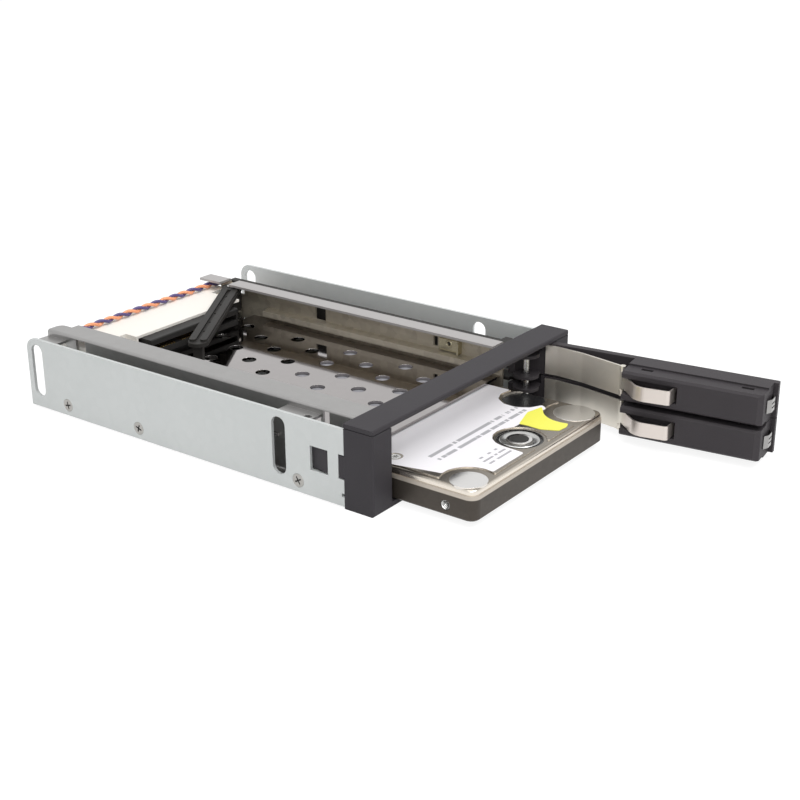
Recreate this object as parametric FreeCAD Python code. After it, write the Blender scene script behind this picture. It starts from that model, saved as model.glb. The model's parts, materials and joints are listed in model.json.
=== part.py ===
import FreeCAD, Part
import math
import os

# Twin hot-swap drive rack for one 3.5-inch bay, with two stacked 2.5-inch bays behind hinged doors.
# Millimetres. X runs to the right seen from the front, Y towards the rear, Z up.
# Depths are measured back from the front face of the bezel, and every finished piece is then
# shifted so that the origin lies under the middle of the base tray.

V = FreeCAD.Vector
UP = V(0, 0, 1)
BACK = V(0, 1, 0)
RIGHT = V(1, 0, 0)

# Sheets and fits
sheet = 0.8
bend = 0.8
plate_sheet = 1.0
running_clearance = 0.1
door_gap = 0.3
link_play = 0.4
past = 1.0

# Drive
drive_width = 69.85
drive_length = 100.0
drive_height = 9.5
drive_out = 26.0
drive_corner = 3.0
lid_thickness = 2.0
lid_inset = 0.3
lid_round = 0.9
lid_step = 0.3
lid_margin = 2.0
field_gap = 1.0
field_round = 0.5
lid_screw_inset = 6.2
lid_screw_middle = 30.7
lid_screw_head = 3.6
lid_screw_shank = 1.8
lid_screw_length = 1.6
spindle_shift = 2.5
spindle_setback = 9.7
spindle_well = 13.6
spindle_hub = 7.4
seal_thickness = 0.15
seal_margin = 2.7
left_seal = 10.6
left_seal_inset = 5.7
right_seal = 12.6
right_seal_inset = 6.8
vent_well = 13.2
vent_well_inset = 5.9
vent_well_setback = 25.0
well_depth = 0.5
side_hole = 3.0
side_hole_depth = 4.0
side_hole_setback = 9.4
side_hole_spacing = 76.6
side_hole_level = 3.0
casting_chamfer = 0.5
plug_recess = 6.0
plug_base = 1.5
board_margin = 5.0
drive_board_length = 60.0
drive_board_depth = 1.4
drive_board_thickness = 0.8

# Two identical storeys: the upper one is the lower one raised by storey_pitch
runner_height = 1.0
runner_width = 4.0
runner_offset = 22.0
shelf_gap = 0.3
shelf_lift = 0.5
drive_bottom = sheet + runner_height + running_clearance
shelf_level = drive_bottom + drive_height + shelf_gap
storey_pitch = drive_height + shelf_gap + sheet + shelf_lift

# Bezel
bezel_depth = 10.0
bezel_skin = 1.6
bezel_round = 0.6
parting_groove = 0.3
stile_width = 8.3
top_bar = 1.4
bottom_bar = 1.7
light_pipe_diameter = 2.5
light_board_width = 5.0
light_board_margin = 3.4
light_board_thickness = 1.2
hook_gap = 0.1
hook_side_gap = 0.35
hook_thickness = 1.4

# Doors, drawn shut and then turned open about the hinge
hinge_depth = 6.3
hinge_setback = 2.5
hinge_pin_diameter = 2.0
door_open_angle = 97.0
door_front_gap = 0.1
door_end_gap = 0.25
door_split = 0.4
panel_thickness = 2.3
ear_thickness = 1.0
ear_link = 3.0
ear_overlap = 0.2
bar_notch = 2.8
body_start = 34.2
body_end_margin = 1.4
body_inner = 6.8
body_step = 0.6
body_step_depth = 1.0
body_chamfer = 0.7
body_end_chamfer = 1.4
trough_end = 51.5
trough_height = 5.3
trough_floor = 2.2
snap_slot_length = 3.6
snap_slot_width = 1.5
snap_slot_depth = 1.2
snap_slot_offset = 2.6
snap_slot_first = 40.6
snap_slot_margin = 5.7

# Door spring and catch clip
strip_thickness = 0.5
strip_height = 9.5
strip_root = 1.0
strip_flat = 4.0
strip_bend_reach = 18.0
strip_bend_out = 2.0
strip_end_out = -2.7
strip_bend = 5.0
strip_ear = 1.8
leaf_height = 4.4
leaf_rise = 4.0
leaf_up_run = 6.0
leaf_slant = 0.8
leaf_fold = 0.7
leaf_fold_run = 0.3
leaf_end_margin = 1.0
clip_height = 4.0
clip_sheet = 0.3
clip_rise = 1.1
clip_crown_length = 2.8
clip_crown_inner = 1.0
clip_slope = 1.6
clip_slit = 0.5

# Cage
hinge_wall_bead = 3.2
drive_left_gap = 1.075
drive_right_gap = 0.575
wall_behind_stile = 0.3
wall_rear_margin = 1.5
rear_margin = 0.4
left_flange = 8.6
right_flange = 6.4
flange_bend = 0.15
right_foot_width = 9.5
left_foot_width = 5.0
tray_flange_height = 8.0
tray_slot_margin = 1.0
bead_height = 2.6
bead_level = 4.0
bead_end_margin = 7.0
bead_taper = 0.7
tab_hole = 2.6
wall_slot_depths = ((84.9, 89.5), (38.0, 39.7))
wall_slot_rises = ((3.9, 9.5), (4.7, 8.1))
clip_plate_depths = (29.2, 37.2)
clip_plate_rises = (4.2, 8.1)
clip_plate_sheet = 0.6
clip_plate_lip = 2.2
clip_plate_hole = 2.4
tab_drop = 2.1
front_tab_depth = 24.4
front_tab_length = 12.4
rear_tab_length = 8.5
tab_hole_inset = 2.0
front_window_gap = 0.8
front_window_length = 2.3
rear_window_gap = 4.8
rear_window_length = 4.4
window_drop = 8.0
lobe_width = 5.8
lobe_length = 5.0
lobe_round = 2.2

# Side plates with the bay's fixing slots
plate_bottom = 0.6
plate_drop = 0.4
plate_corner = 4.0
slot_height = 17.5
slot_width = 5.0
slot_front_depth = 33.4
slot_rear_setback = 4.6
slot_rise = 0.7
window_depth = 15.7
window_length = 6.3
window_height = 7.3
plate_notch = 2.0
plate_screw_front = 26.7
plate_screw_setbacks = (49.2, 17.3)
plate_screw_level = 4.0
plate_screw_shank = 2.4
plate_screw_head = 4.4
plate_screw_length = 4.0

# Middle shelf
shelf_front = 14.0
shelf_overhang = 0.7
vent_diameter = 4.7
vent_pitch_x = 12.2
vent_pitch_y = 11.35
vent_right_margin = 11.2
vent_first_depth = 20.0
shelf_tab = 10.0
shelf_tab_front = 40.0
shelf_tab_setback = 18.0

# Ejector linkage
crank_radius = 3.0
crank_pin_diameter = 1.6
pivot_setback = 1.7
pivot_diameter = 3.0
arm_rest_angle = 32.0
arm_swing = 28.0
arm_length = 55.5
arm_width = 6.4
arm_plate = 1.3
arm_ridge = 0.8
arm_ridge_width = 2.2
arm_ridge_inset = 0.3
arm_holes = 5
arm_hole = 1.2
arm_shelf_gap = 0.2
hub_radius = 3.4
tail_width = 5.2
tail_thickness = 1.5
tail_gap = 0.2
foot_size = 3.0
foot_drop = 5.5
bar_thickness = 1.0
bar_width = 3.0
bar_head_width = 5.6
bar_head_length = 5.0
bar_inset = 0.2
bar_lift = 1.5
bar_tail = 2.2
bar_finger = 1.2
bar_web = 6.7
bar_web_setback = 8.0
bar_round = 0.6
hub_height = 8.3
hub_notch = 0.5
pivot_stand = 0.4
guide_front_depth = 54.0
guide_setback = 13.0
guide_length = 8.0
guide_reach = 6.0
guide_gap = 0.4

# Backplane
seat_gap = 0.2
plug_engage = 4.0
rear_space = 16.7
board_thickness = 1.6
board_left_margin = 1.8
board_tab_insets = (5.7, 2.9)
board_tab_width = 6.0
board_tab_height = 8.0
board_screw_rise = 4.8
board_screw_head = 4.2
board_screw_cap = 1.2
board_screw_shank = 2.4
socket_length = 10.0
socket_width = 41.5
socket_setback = 9.375
socket_slot_height = 2.0
socket_slot_depth = 4.5
socket_wall = 1.0
cover_sheet = 0.9
cover_skirt = 6.3
cover_left_margin = 0.6
cover_right_margin = 0.7
cover_rear_margin = 2.0
cover_lip = 0.4
notch_share = 1.5
port_depth = 11.0
port_recess = 6.6
port_wall = 1.0
data_port_gap = 4.0
data_port_width = 14.0
data_port_height = 6.2
power_width = 22.0
power_height = 6.8
power_ways = 4
power_hole = 4.0
wire_diameter = 2.6
wire_bend = 5.0
wire_share = 0.45
wire_inset = 2.7
wire_lift = 0.05
wire_offset = 3.0
wire_low = 7.2
wire_wall_gap = 3.7
plug_inset = 6.0
plug_drop = 3.8
plug_width = 5.0
plug_height = 4.0
plug_length = 5.6

# Heights
door_bottom = bottom_bar + door_end_gap
door_height = storey_pitch - door_split
open_top = door_bottom + storey_pitch + door_height + door_end_gap
bezel_height = open_top + top_bar
plate_top = open_top
plate_middle = (plate_bottom + plate_top) / 2
shelf_top = shelf_level + sheet
arm_top = shelf_level - arm_shelf_gap
arm_bottom = arm_top - arm_ridge - arm_plate
bar_top = door_bottom + door_height - bar_lift
bar_low = bar_top - bar_thickness
tail_top = bar_low - tail_gap
hub_bottom = arm_top - hub_height
socket_bottom = drive_bottom + door_gap
socket_height = arm_bottom - door_gap - cover_sheet - socket_bottom
board_top = socket_bottom + socket_height + storey_pitch
wire_level = board_top + cover_sheet + wire_diameter / 2 + wire_lift

# Widths, from the drive out to the bezel's stiles
barrel_radius = hinge_depth - door_front_gap
bay_width = drive_left_gap + drive_width + drive_right_gap + hinge_wall_bead
hinge_bay = hinge_setback + barrel_radius + door_gap
open_half = (2 * sheet + bay_width + hinge_bay - wall_behind_stile) / 2
rack_width = 2 * (open_half + stile_width)
plate_inner = rack_width / 2 - plate_sheet
left_wall_outer = -open_half - wall_behind_stile
left_wall_inner = left_wall_outer + sheet
right_wall_inner = left_wall_inner + bay_width
right_wall_outer = right_wall_inner + sheet
drive_x = left_wall_inner + drive_left_gap + drive_width / 2
hinge_x = right_wall_outer + hinge_setback
pivot_x = right_wall_inner - hub_radius - door_gap
socket_x = drive_x + drive_width / 2 - socket_setback - socket_width / 2
board_left = left_wall_inner + board_left_margin
board_right = pivot_x - hub_radius - link_play
board_slot_left = pivot_x - arm_length - arm_width / 2 - 2 * link_play
board_tab_xs = (board_left + board_tab_insets[0], board_right - board_tab_insets[1])
wire_x = open_half + wire_offset
wire_rise_x = right_wall_outer + wire_wall_gap
plug_x = left_wall_inner + plug_inset
foot_shut_x = pivot_x - arm_length * math.cos(math.radians(arm_rest_angle - arm_swing))

# Depths, back from the shut drive
seat_depth = hinge_depth + body_inner + leaf_rise + seat_gap
shut_rear = seat_depth + drive_length
shelf_rear = shut_rear + shelf_overhang
socket_front = shut_rear - plug_engage
board_depth = socket_front + socket_length
board_rear = board_depth + board_thickness
pivot_depth = board_depth + pivot_setback
rack_depth = board_depth + rear_space
plate_rear = rack_depth - rear_margin
wall_rear = rack_depth - wall_rear_margin
cover_front = shelf_rear
cover_rear = rack_depth - cover_rear_margin
wire_depth = cover_rear - wire_inset
bead_end_depth = shelf_rear - bead_end_margin
slot_depths = (slot_front_depth, plate_rear - slot_rear_setback)
tab_spans = ((front_tab_depth, front_tab_depth + front_tab_length), (wall_rear - rear_tab_length, wall_rear))
shelf_tab_depths = (shelf_tab_front, shelf_rear - shelf_tab_setback)
guide_depths = (guide_front_depth, pivot_depth - guide_setback)
plate_screw_depths = (plate_screw_front, *[plate_rear - setback for setback in plate_screw_setbacks])

# Linkage: the crank pin turns with the door, pulls the bar, and the bar's peg turns the arm
door_reach = hinge_x + open_half - door_gap
body_end = door_reach - body_end_margin
panel_inner = barrel_radius - panel_thickness
crank_half_angle = math.radians(door_open_angle / 2)
bar_travel = 2 * crank_radius * math.sin(crank_half_angle)
rest_slope = math.tan(math.radians(arm_rest_angle))
end_slope = math.tan(math.radians(arm_rest_angle - arm_swing))
peg_reach = bar_travel / (rest_slope - end_slope)
peg_x = pivot_x + peg_reach
peg_depth = pivot_depth + peg_reach * rest_slope
tail_rear_side = tail_width / 2 * math.hypot(1, rest_slope) + link_play
tail_front_side = tail_width / 2 * math.hypot(1, end_slope) + link_play
tail_rear = pivot_depth + (right_wall_outer - pivot_x) * rest_slope + tail_rear_side
tail_front = pivot_depth + (right_wall_inner - pivot_x) * end_slope - tail_front_side


def box(x0, x1, y0, y1, z0, z1):
    return Part.makeBox(x1 - x0, y1 - y0, z1 - z0, V(x0, y0, z0))


def rod(radius, start, end):
    run = end - start
    return Part.makeCylinder(radius, run.Length, start, run)


def prism(points, run):
    return Part.Face(Part.makePolygon(points + points[:1])).extrude(run)


def obround(center, along, across, run, length, width):
    half = (length - width) / 2
    tip = along * half
    side = across * (width / 2)
    edges = [Part.LineSegment(center - tip - side, center + tip - side).toShape(),
             Part.Arc(center + tip - side, center + along * (length / 2), center + tip + side).toShape(),
             Part.LineSegment(center + tip + side, center - tip + side).toShape(),
             Part.Arc(center - tip + side, center - along * (length / 2), center - tip - side).toShape()]
    return Part.Face(Part.Wire(edges)).extrude(run)


def folded(points, thickness, radius, run):
    """A bent strip: straight runs along a centre line, joined by true bend arcs, swept along run.
    The radius is one for all its bends, or a list with one for each."""
    radii = radius if isinstance(radius, list) else [radius] * len(points)
    normal = V(run).normalize()
    spans = [V(b - a).normalize() for a, b in zip(points, points[1:])]
    sides = {1: [], -1: []}
    for index, point in enumerate(points):
        if index in (0, len(points) - 1):
            span = spans[0] if index == 0 else spans[-1]
            across = normal.cross(span)
            for side in sides:
                sides[side].append(("point", point + across * (side * thickness / 2)))
            continue
        into, out = spans[index - 1], spans[index]
        mid_radius = radii[index - 1] + thickness / 2
        turn = into.getAngle(out)
        back = mid_radius * math.tan(turn / 2)
        bisector = V(out - into).normalize()
        centre = point + bisector * (mid_radius / math.cos(turn / 2))
        first, last = point - into * back, point + out * back
        left = 1 if normal.cross(into).dot(bisector) > 0 else -1
        for side in sides:
            reach = mid_radius - thickness / 2 if side == left else mid_radius + thickness / 2
            ends = [centre + V(spot - centre).normalize() * reach for spot in (first, last)]
            sides[side].append(("arc", ends[0], centre - bisector * reach, ends[1]))
    edges = []
    trail = sides[1] + [(kind, *spots[::-1]) for kind, *spots in sides[-1][::-1]]
    here = trail[-1][-1]
    for kind, *spots in trail:
        edges.append(Part.LineSegment(here, spots[0]).toShape())
        if kind == "arc":
            edges.append(Part.Arc(*spots).toShape())
        here = spots[-1]
    return Part.Face(Part.Wire(edges)).extrude(run)


def moved(shape, storey):
    copy = shape.copy()
    copy.translate(UP * (storey * storey_pitch))
    return copy


def fillet_where(shape, radius, chosen):
    return shape.makeFillet(radius, [edge for edge in shape.Edges if chosen(edge)])


def upright_edge(edge, x, y):
    ends = edge.Vertexes
    return len(ends) == 2 and all(abs(v.X - x) < 0.01 and abs(v.Y - y) < 0.01 for v in ends)


def bezel():
    half = rack_width / 2
    body = box(-half, half, 0, bezel_depth, 0, bezel_height)
    body = fillet_where(body, bezel_round, lambda edge: all(v.Y < 0.01 for v in edge.Vertexes))
    body = body.cut(box(-open_half, open_half, -past, bezel_depth + past, bottom_bar, open_top))
    for side in (-1, 1):
        inner, outer = open_half + bezel_skin, half - bezel_skin
        pocket = box(inner, outer, bezel_skin, bezel_depth + past, bottom_bar, open_top)
        body = body.cut(pocket if side > 0 else pocket.mirror(V(), RIGHT))
        hook = snap_hook()
        body = body.fuse(hook if side > 0 else hook.mirror(V(), RIGHT))
    for storey in (0, 1):
        catch = clip_height + 2 * door_gap
        level = door_bottom + door_height / 2 + storey * storey_pitch
        body = body.cut(box(-open_half - bezel_skin / 2, past - open_half, hinge_depth - catch / 2,
                            hinge_depth + catch / 2, level - catch / 2, level + catch / 2))
        body = body.cut(light_pipe(storey))
    seam_low, seam_high = open_top - parting_groove / 2, open_top + parting_groove / 2
    for x0, x1 in ((-half - past, -open_half), (open_half, half + past)):
        body = body.cut(box(x0, x1, -past, parting_groove, seam_low, seam_high))
    for x0, x1 in ((-half - past, parting_groove - half), (half - parting_groove, half + past)):
        body = body.cut(box(x0, x1, -past, bezel_depth + past, seam_low, seam_high))
    relief = box(hinge_x - bezel_depth, hinge_x, hinge_depth - barrel_radius - door_gap, hinge_depth,
                 bottom_bar, open_top)
    relief.rotate(V(hinge_x, hinge_depth, 0), UP, door_open_angle)
    return body.cut(relief).cut(hinge_pin()).removeSplitter()


def snap_hook():
    outer = plate_inner - hook_gap
    reach = window_height / 2 - hook_side_gap
    start, end = window_depth + hook_side_gap, window_depth + window_length - hook_side_gap
    low, high = plate_middle - reach, plate_middle + reach
    arm = box(outer - hook_thickness, outer, bezel_depth, end + hook_thickness, low, high)
    root = box(outer - hook_thickness, rack_width / 2 - hook_gap, bezel_depth,
               bezel_depth + plate_notch - hook_gap, low, high)
    tip = rack_width / 2 - hook_side_gap / 2
    barb = prism([V(outer, start, low), V(tip, start, low), V(outer, end, low)], UP * (high - low))
    foot = box(outer - hook_thickness, rack_width / 2 - bezel_skin, bezel_depth - hook_thickness,
               bezel_depth, low, high)
    outer_skin = box(rack_width / 2 - bezel_skin - hook_gap, rack_width / 2 - hook_gap,
                     bezel_depth - hook_thickness, bezel_depth, low, high)
    return arm.fuse([root, barb, foot, outer_skin])


def hinge_pin():
    embed = bottom_bar / 2
    return rod(hinge_pin_diameter / 2, V(hinge_x, hinge_depth, bottom_bar - embed),
               V(hinge_x, hinge_depth, open_top + top_bar / 2))


def light_pipe(storey):
    x = (open_half + rack_width / 2) / 2
    level = door_bottom + door_height / 2 + storey * storey_pitch
    return rod(light_pipe_diameter / 2, V(x, 0, level), V(x, bezel_depth, level))


def light_board():
    left = open_half + door_gap
    return box(left, left + light_board_width, bezel_depth, bezel_depth + light_board_thickness,
               light_board_margin, bezel_height - light_board_margin)


def side_plate():
    outer = rack_width / 2
    crest = plate_top - plate_drop
    body = box(plate_inner, outer, bezel_depth, plate_rear, plate_bottom, crest)
    body = fillet_where(body, plate_corner,
                        lambda edge: all(v.Y > plate_rear - 0.01 and v.Z > crest - 0.01
                                         for v in edge.Vertexes))
    left, right = plate_inner - past, outer + past
    for depth in slot_depths:
        body = body.cut(obround(V(left, depth, plate_middle + slot_rise), UP, BACK, RIGHT * (right - left),
                                slot_height, slot_width))
    low, high = plate_middle - window_height / 2, plate_middle + window_height / 2
    body = body.cut(box(left, right, window_depth, window_depth + window_length, low, high))
    body = body.cut(box(left, right, bezel_depth - past, bezel_depth + plate_notch, low, high))
    body = body.cut(box(left, right, bezel_depth - past, bezel_depth + plate_notch / 2,
                        plate_screw_level - plate_notch / 4, plate_screw_level + plate_notch / 4))
    for depth in plate_screw_depths:
        body = body.cut(plate_screw(depth))
    return body


def plate_screw(depth):
    spot = V(plate_inner, depth, plate_screw_level)
    head = Part.makeCone(plate_screw_shank / 2, plate_screw_head / 2, plate_sheet, spot, RIGHT)
    return head.fuse(rod(plate_screw_shank / 2, spot - RIGHT * plate_screw_length, spot))


def side_plate_screws():
    right = [plate_screw(depth) for depth in plate_screw_depths]
    return Part.makeCompound(right + [screw.mirror(V(), RIGHT) for screw in right])


def base_tray():
    side = plate_inner - sheet / 2
    run = BACK * (wall_rear - bezel_depth)
    body = folded([V(-side, bezel_depth, tray_flange_height), V(-side, bezel_depth, sheet / 2),
                   V(side, bezel_depth, sheet / 2), V(side, bezel_depth, tray_flange_height)],
                  sheet, bend, run)
    middle = (shelf_front + bead_end_depth) / 2
    length = bead_end_depth - shelf_front
    for x in (drive_x - runner_offset, drive_x + runner_offset):
        body = body.fuse(obround(V(x, middle, sheet / 2), BACK, RIGHT, UP * (runner_height + sheet / 2),
                                 length, runner_width))
        body = body.cut(obround(V(x, middle, -past), BACK, RIGHT, UP * (runner_height + past),
                                length - 2 * sheet, runner_width - 2 * sheet))
    reach = slot_width / 2 + tray_slot_margin
    low = plate_middle + slot_rise - slot_height / 2 - tray_slot_margin
    for depth in slot_depths:
        for left, right in ((-plate_inner - past, -side + sheet), (side - sheet, plate_inner + past)):
            body = body.cut(box(left, right, depth - reach, depth + reach, low, tray_flange_height + past))
    tab_rear = board_rear + sheet
    for x in board_tab_xs:
        left, right = x - board_tab_width / 2, x + board_tab_width / 2
        body = body.cut(box(left, right, tab_rear, tab_rear + board_tab_height, -past, sheet + past))
        body = body.fuse(box(left, right, board_rear, tab_rear, 0, sheet + board_tab_height))
    for side_screw in side_plate_screws().Solids + board_screws().Solids:
        body = body.cut(side_screw)
    return body.cut(pivot_pin()).removeSplitter()


def board_screws():
    screws = []
    level = sheet + board_screw_rise
    for x in board_tab_xs:
        seat = V(x, board_depth, level)
        head = rod(board_screw_head / 2, seat - BACK * board_screw_cap, seat)
        shank = rod(board_screw_shank / 2, seat, V(x, board_rear + 2 * sheet, level))
        screws.append(head.fuse(shank).removeSplitter())
    return Part.makeCompound(screws)


def wall_sheet(outer, inward, front, foot, flange):
    middle = outer + inward * sheet / 2
    foot_level = sheet + sheet / 2
    top = plate_top - sheet / 2
    return folded([V(outer - inward * foot, front, foot_level), V(middle, front, foot_level),
                   V(middle, front, top), V(outer + inward * flange, front, top)],
                  sheet, [bend, flange_bend], BACK * (wall_rear - front))


def pressed_bead(body, outer, inward, depth, front):
    inner = outer + inward * sheet
    half = bead_height / 2
    for storey in (0, 1):
        level = bead_level + storey * storey_pitch
        for grow, face in ((0, inner), (sheet, outer - inward * sheet)):
            reach = inner + inward * (depth - grow)
            span = half - grow
            outline = [V(face, 0, level - span), V(face, 0, level + span),
                       V(reach, 0, level + span * bead_taper), V(reach, 0, level - span * bead_taper)]
            rib = prism(outline, BACK * (bead_end_depth - front - 2 * grow))
            rib.translate(BACK * (front + grow))
            body = body.cut(rib) if grow else body.fuse(rib)
    return body


def shelf_slots(body, outer, inward):
    left, right = sorted((outer + inward * (sheet + past), outer - inward * past))
    for depth in shelf_tab_depths:
        body = body.cut(box(left, right, depth, depth + shelf_tab, shelf_level, shelf_level + sheet))
    return body


def left_cage_wall():
    outer = left_wall_outer
    body = wall_sheet(outer, 1, bezel_depth, left_foot_width, left_flange)
    body = shelf_slots(body, outer, 1)
    lobe = outer + lobe_width
    body = body.cut(box(lobe, outer + left_flange + past, wall_rear - lobe_length, wall_rear + past,
                        plate_top - sheet - past, plate_top + past))
    body = fillet_where(body, lobe_round, lambda edge: upright_edge(edge, lobe, wall_rear))
    tab_top, ceiling = plate_top - tab_drop, plate_top - sheet
    tab_low = tab_top - sheet
    for start, end in tab_spans:
        body = body.cut(box(outer - past, outer + sheet + past, start, end,
                            tab_low - outer - plate_inner, tab_low))
        body = body.fuse(box(-plate_inner, outer + sheet / 2, start, end, tab_low, tab_top))
    hole = V((outer - plate_inner) / 2, front_tab_depth + tab_hole_inset, tab_low - past)
    body = body.cut(rod(tab_hole / 2, hole, hole + UP * (sheet + 2 * past)))
    rear_window = tab_spans[1][0] - rear_window_gap
    front_window = front_tab_depth - front_window_gap
    for length, end in ((front_window_length, front_window), (rear_window_length, rear_window)):
        body = body.cut(box(outer - past, outer + sheet + past, end - length, end, plate_top - window_drop,
                            ceiling))
    return body.removeSplitter()


def right_wall_front():
    return hinge_depth + barrel_radius + 2 * door_gap


def right_cage_wall():
    front = right_wall_front()
    body = wall_sheet(right_wall_outer, -1, front, right_foot_width, right_flange)
    body = pressed_bead(body, right_wall_outer, -1, hinge_wall_bead, front + sheet)
    body = shelf_slots(body, right_wall_outer, -1)
    left, right = right_wall_inner - past, right_wall_outer + past
    for (start, end), (low, high) in zip(wall_slot_depths, wall_slot_rises):
        body = body.cut(box(left, right, start, end, shelf_top + low, shelf_top + high))
    for storey in (0, 1):
        high = tail_top + link_play + storey * storey_pitch
        body = body.cut(box(left, right, tail_front, tail_rear, high - tail_thickness - 2 * link_play, high))
    body = body.cut(box(left - right_flange, right, pivot_depth - hub_notch,
                        pivot_depth + hub_radius + hub_notch, plate_top - sheet - bend, plate_top + past))
    wire_gap = wire_diameter / 2 + link_play
    body = body.cut(box(left, right, wire_depth - wire_gap, wire_depth + wire_gap,
                        wire_level - wire_gap, plate_top - sheet))
    edge = right_wall_outer + guide_reach
    for storey in (0, 1):
        guide_top = bar_low - guide_gap + storey * storey_pitch
        for start in guide_depths:
            end = start + guide_length
            body = body.fuse(box(right_wall_outer - sheet / 2, edge, start, end,
                                 guide_top - sheet, guide_top))
    return body.removeSplitter()


def middle_shelf():
    body = box(left_wall_inner, right_wall_inner, shelf_front, shelf_rear, shelf_level, shelf_level + sheet)
    for depth in shelf_tab_depths:
        body = body.fuse(box(left_wall_outer - sheet, right_wall_outer + sheet, depth, depth + shelf_tab,
                             shelf_level, shelf_level + sheet))
    body = body.removeSplitter()
    vents = []
    rows = 1 + int((shelf_rear - vent_first_depth - vent_diameter) / vent_pitch_y)
    for row in range(rows):
        x = right_wall_inner - vent_right_margin - (row % 2) * vent_pitch_x / 2
        while x > left_wall_inner + vent_diameter:
            spot = V(x, vent_first_depth + row * vent_pitch_y, shelf_level - past)
            vents.append(rod(vent_diameter / 2, spot, spot + UP * (sheet + 2 * past)))
            x -= vent_pitch_x
    return body.cut(vents)


def detent_clip():
    face = right_wall_inner
    start, end = clip_plate_depths
    low, high = (shelf_top + rise for rise in clip_plate_rises)
    plate = box(face - clip_plate_sheet, face, start, end, low, high)
    lip = box(face - clip_plate_lip, face, start - clip_plate_sheet, start, low, high)
    hole = V(face - past, (start + end) / 2, high - (high - low) / 3)
    return plate.fuse(lip).removeSplitter().cut(rod(clip_plate_hole / 2, hole, hole + RIGHT * 2 * past))


def closed(reach, out, level):
    """A point of a shut door: reach from the hinge axis towards the free end, out towards the front."""
    return V(hinge_x - reach, hinge_depth - out, level)


def opened(shape, storey):
    shape = moved(shape, storey)
    shape.rotate(V(hinge_x, hinge_depth, 0), UP, door_open_angle)
    return shape


def door_front():
    outer, inner, reach, z = barrel_radius, panel_inner, door_reach, door_bottom
    slant = math.sqrt(0.5)
    edges = [Part.LineSegment(closed(0, outer, z), closed(reach, outer, z)).toShape(),
             Part.LineSegment(closed(reach, outer, z), closed(reach, inner, z)).toShape(),
             Part.LineSegment(closed(reach, inner, z), closed(0, inner, z)).toShape(),
             Part.Arc(closed(0, inner, z), closed(-inner * slant, inner * slant, z),
                      closed(-inner, 0, z)).toShape(),
             Part.LineSegment(closed(-inner, 0, z), closed(-outer, 0, z)).toShape(),
             Part.Arc(closed(-outer, 0, z), closed(-outer * slant, outer * slant, z),
                      closed(0, outer, z)).toShape()]
    body = Part.Face(Part.Wire(edges)).extrude(UP * door_height)
    corner = closed(reach, outer, z)
    body = fillet_where(body, panel_thickness / 3, lambda edge: upright_edge(edge, corner.x, corner.y))
    start, end = closed(ear_link + link_play, outer + past, z), closed(-outer - past, -outer - past, z)
    top = z + door_height
    body = body.cut(box(start.x, end.x, start.y, end.y, top - bar_notch, top + past))
    axis = closed(0, 0, 0)
    low_ear, top_ear = z, top - bar_notch - ear_thickness
    for level in (low_ear, top_ear):
        body = body.fuse(rod(inner + ear_overlap, axis + UP * level, axis + UP * (level + ear_thickness)))
        body = body.fuse(box(hinge_x - ear_link, hinge_x, hinge_depth - inner - ear_overlap, hinge_depth,
                             level, level + ear_thickness))
    crank = axis + V(math.cos(crank_half_angle), -math.sin(crank_half_angle), 0) * crank_radius
    body = body.fuse(rod(crank_pin_diameter / 2, crank + UP * (top - bar_notch),
                         crank + UP * (top - running_clearance)))
    bore = hinge_pin_diameter / 2 + running_clearance
    return body.cut(rod(bore, axis, axis + UP * (top + past))).removeSplitter()


def door_body():
    low, high = door_bottom, door_bottom + door_height
    step, deep, trim, inner, inner_face = body_step, body_step_depth, body_chamfer, panel_inner, body_inner
    rim = [(inner, low), (-deep, low), (-deep, low + step), (trim - inner_face, low + step),
           (-inner_face, low + step + trim), (-inner_face, high - step - trim),
           (trim - inner_face, high - step), (-deep, high - step), (-deep, high), (inner, high)]
    body = prism([closed(body_start, out, level) for out, level in rim], RIGHT * (body_start - body_end))
    start, end = closed(trough_end, -trough_floor, 0), closed(body_start - past, -body_inner - past, 0)
    trough_low = (low + high - trough_height) / 2
    body = body.cut(box(start.x, end.x, start.y, end.y, trough_low, trough_low + trough_height))
    for along in (snap_slot_first, body_end - snap_slot_margin):
        spot = closed(along, -snap_slot_offset, high - step)
        body = body.cut(box(spot.x - snap_slot_length / 2, spot.x + snap_slot_length / 2,
                            spot.y - snap_slot_width / 2, spot.y + snap_slot_width / 2,
                            spot.z - snap_slot_depth, spot.z + past))
    corner = [(body_end - body_end_chamfer - past, -inner_face - past), (body_end + past, -inner_face - past),
              (body_end + past, body_end_chamfer + past - inner_face)]
    return body.cut(prism([closed(along, out, low) for along, out in corner], UP * door_height))


def door_spring():
    half = strip_thickness / 2
    low = door_bottom + (door_height - strip_height) / 2
    bend_end = body_start - past
    root, face = panel_inner + strip_root, panel_inner - half
    up, leaf_end = body_start + leaf_up_run, trough_end - leaf_end_margin
    crest = half - body_inner - leaf_rise
    line = [(root, face), (root + strip_flat, face), (strip_bend_reach, strip_bend_out),
            (bend_end, strip_end_out), (up, crest), (leaf_end - leaf_fold_run, crest + leaf_slant),
            (leaf_end, -trough_floor - half - running_clearance)]
    bends = [strip_bend] * 4 + [leaf_fold]
    body = folded([closed(along, out, low) for along, out in line], strip_thickness, bends, UP * strip_height)
    middle = low + strip_height / 2
    left, right = closed(trough_end + past, 0, 0).x, closed(bend_end, 0, 0).x
    front, rear = hinge_depth - panel_inner, hinge_depth + body_inner + 2 * leaf_rise
    for start, end in ((low - past, middle - leaf_height / 2),
                       (middle + leaf_height / 2, low + strip_height + past)):
        body = body.cut(box(left, right, front, rear, start, end))
    ear = closed(bend_end - strip_ear / 4, strip_end_out + strip_ear / 4, 0)
    for level in (low, low + strip_height - strip_ear):
        body = body.fuse(rod(strip_ear / 2, ear + UP * level, ear + UP * (level + strip_ear)))
    return body.removeSplitter()


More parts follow.
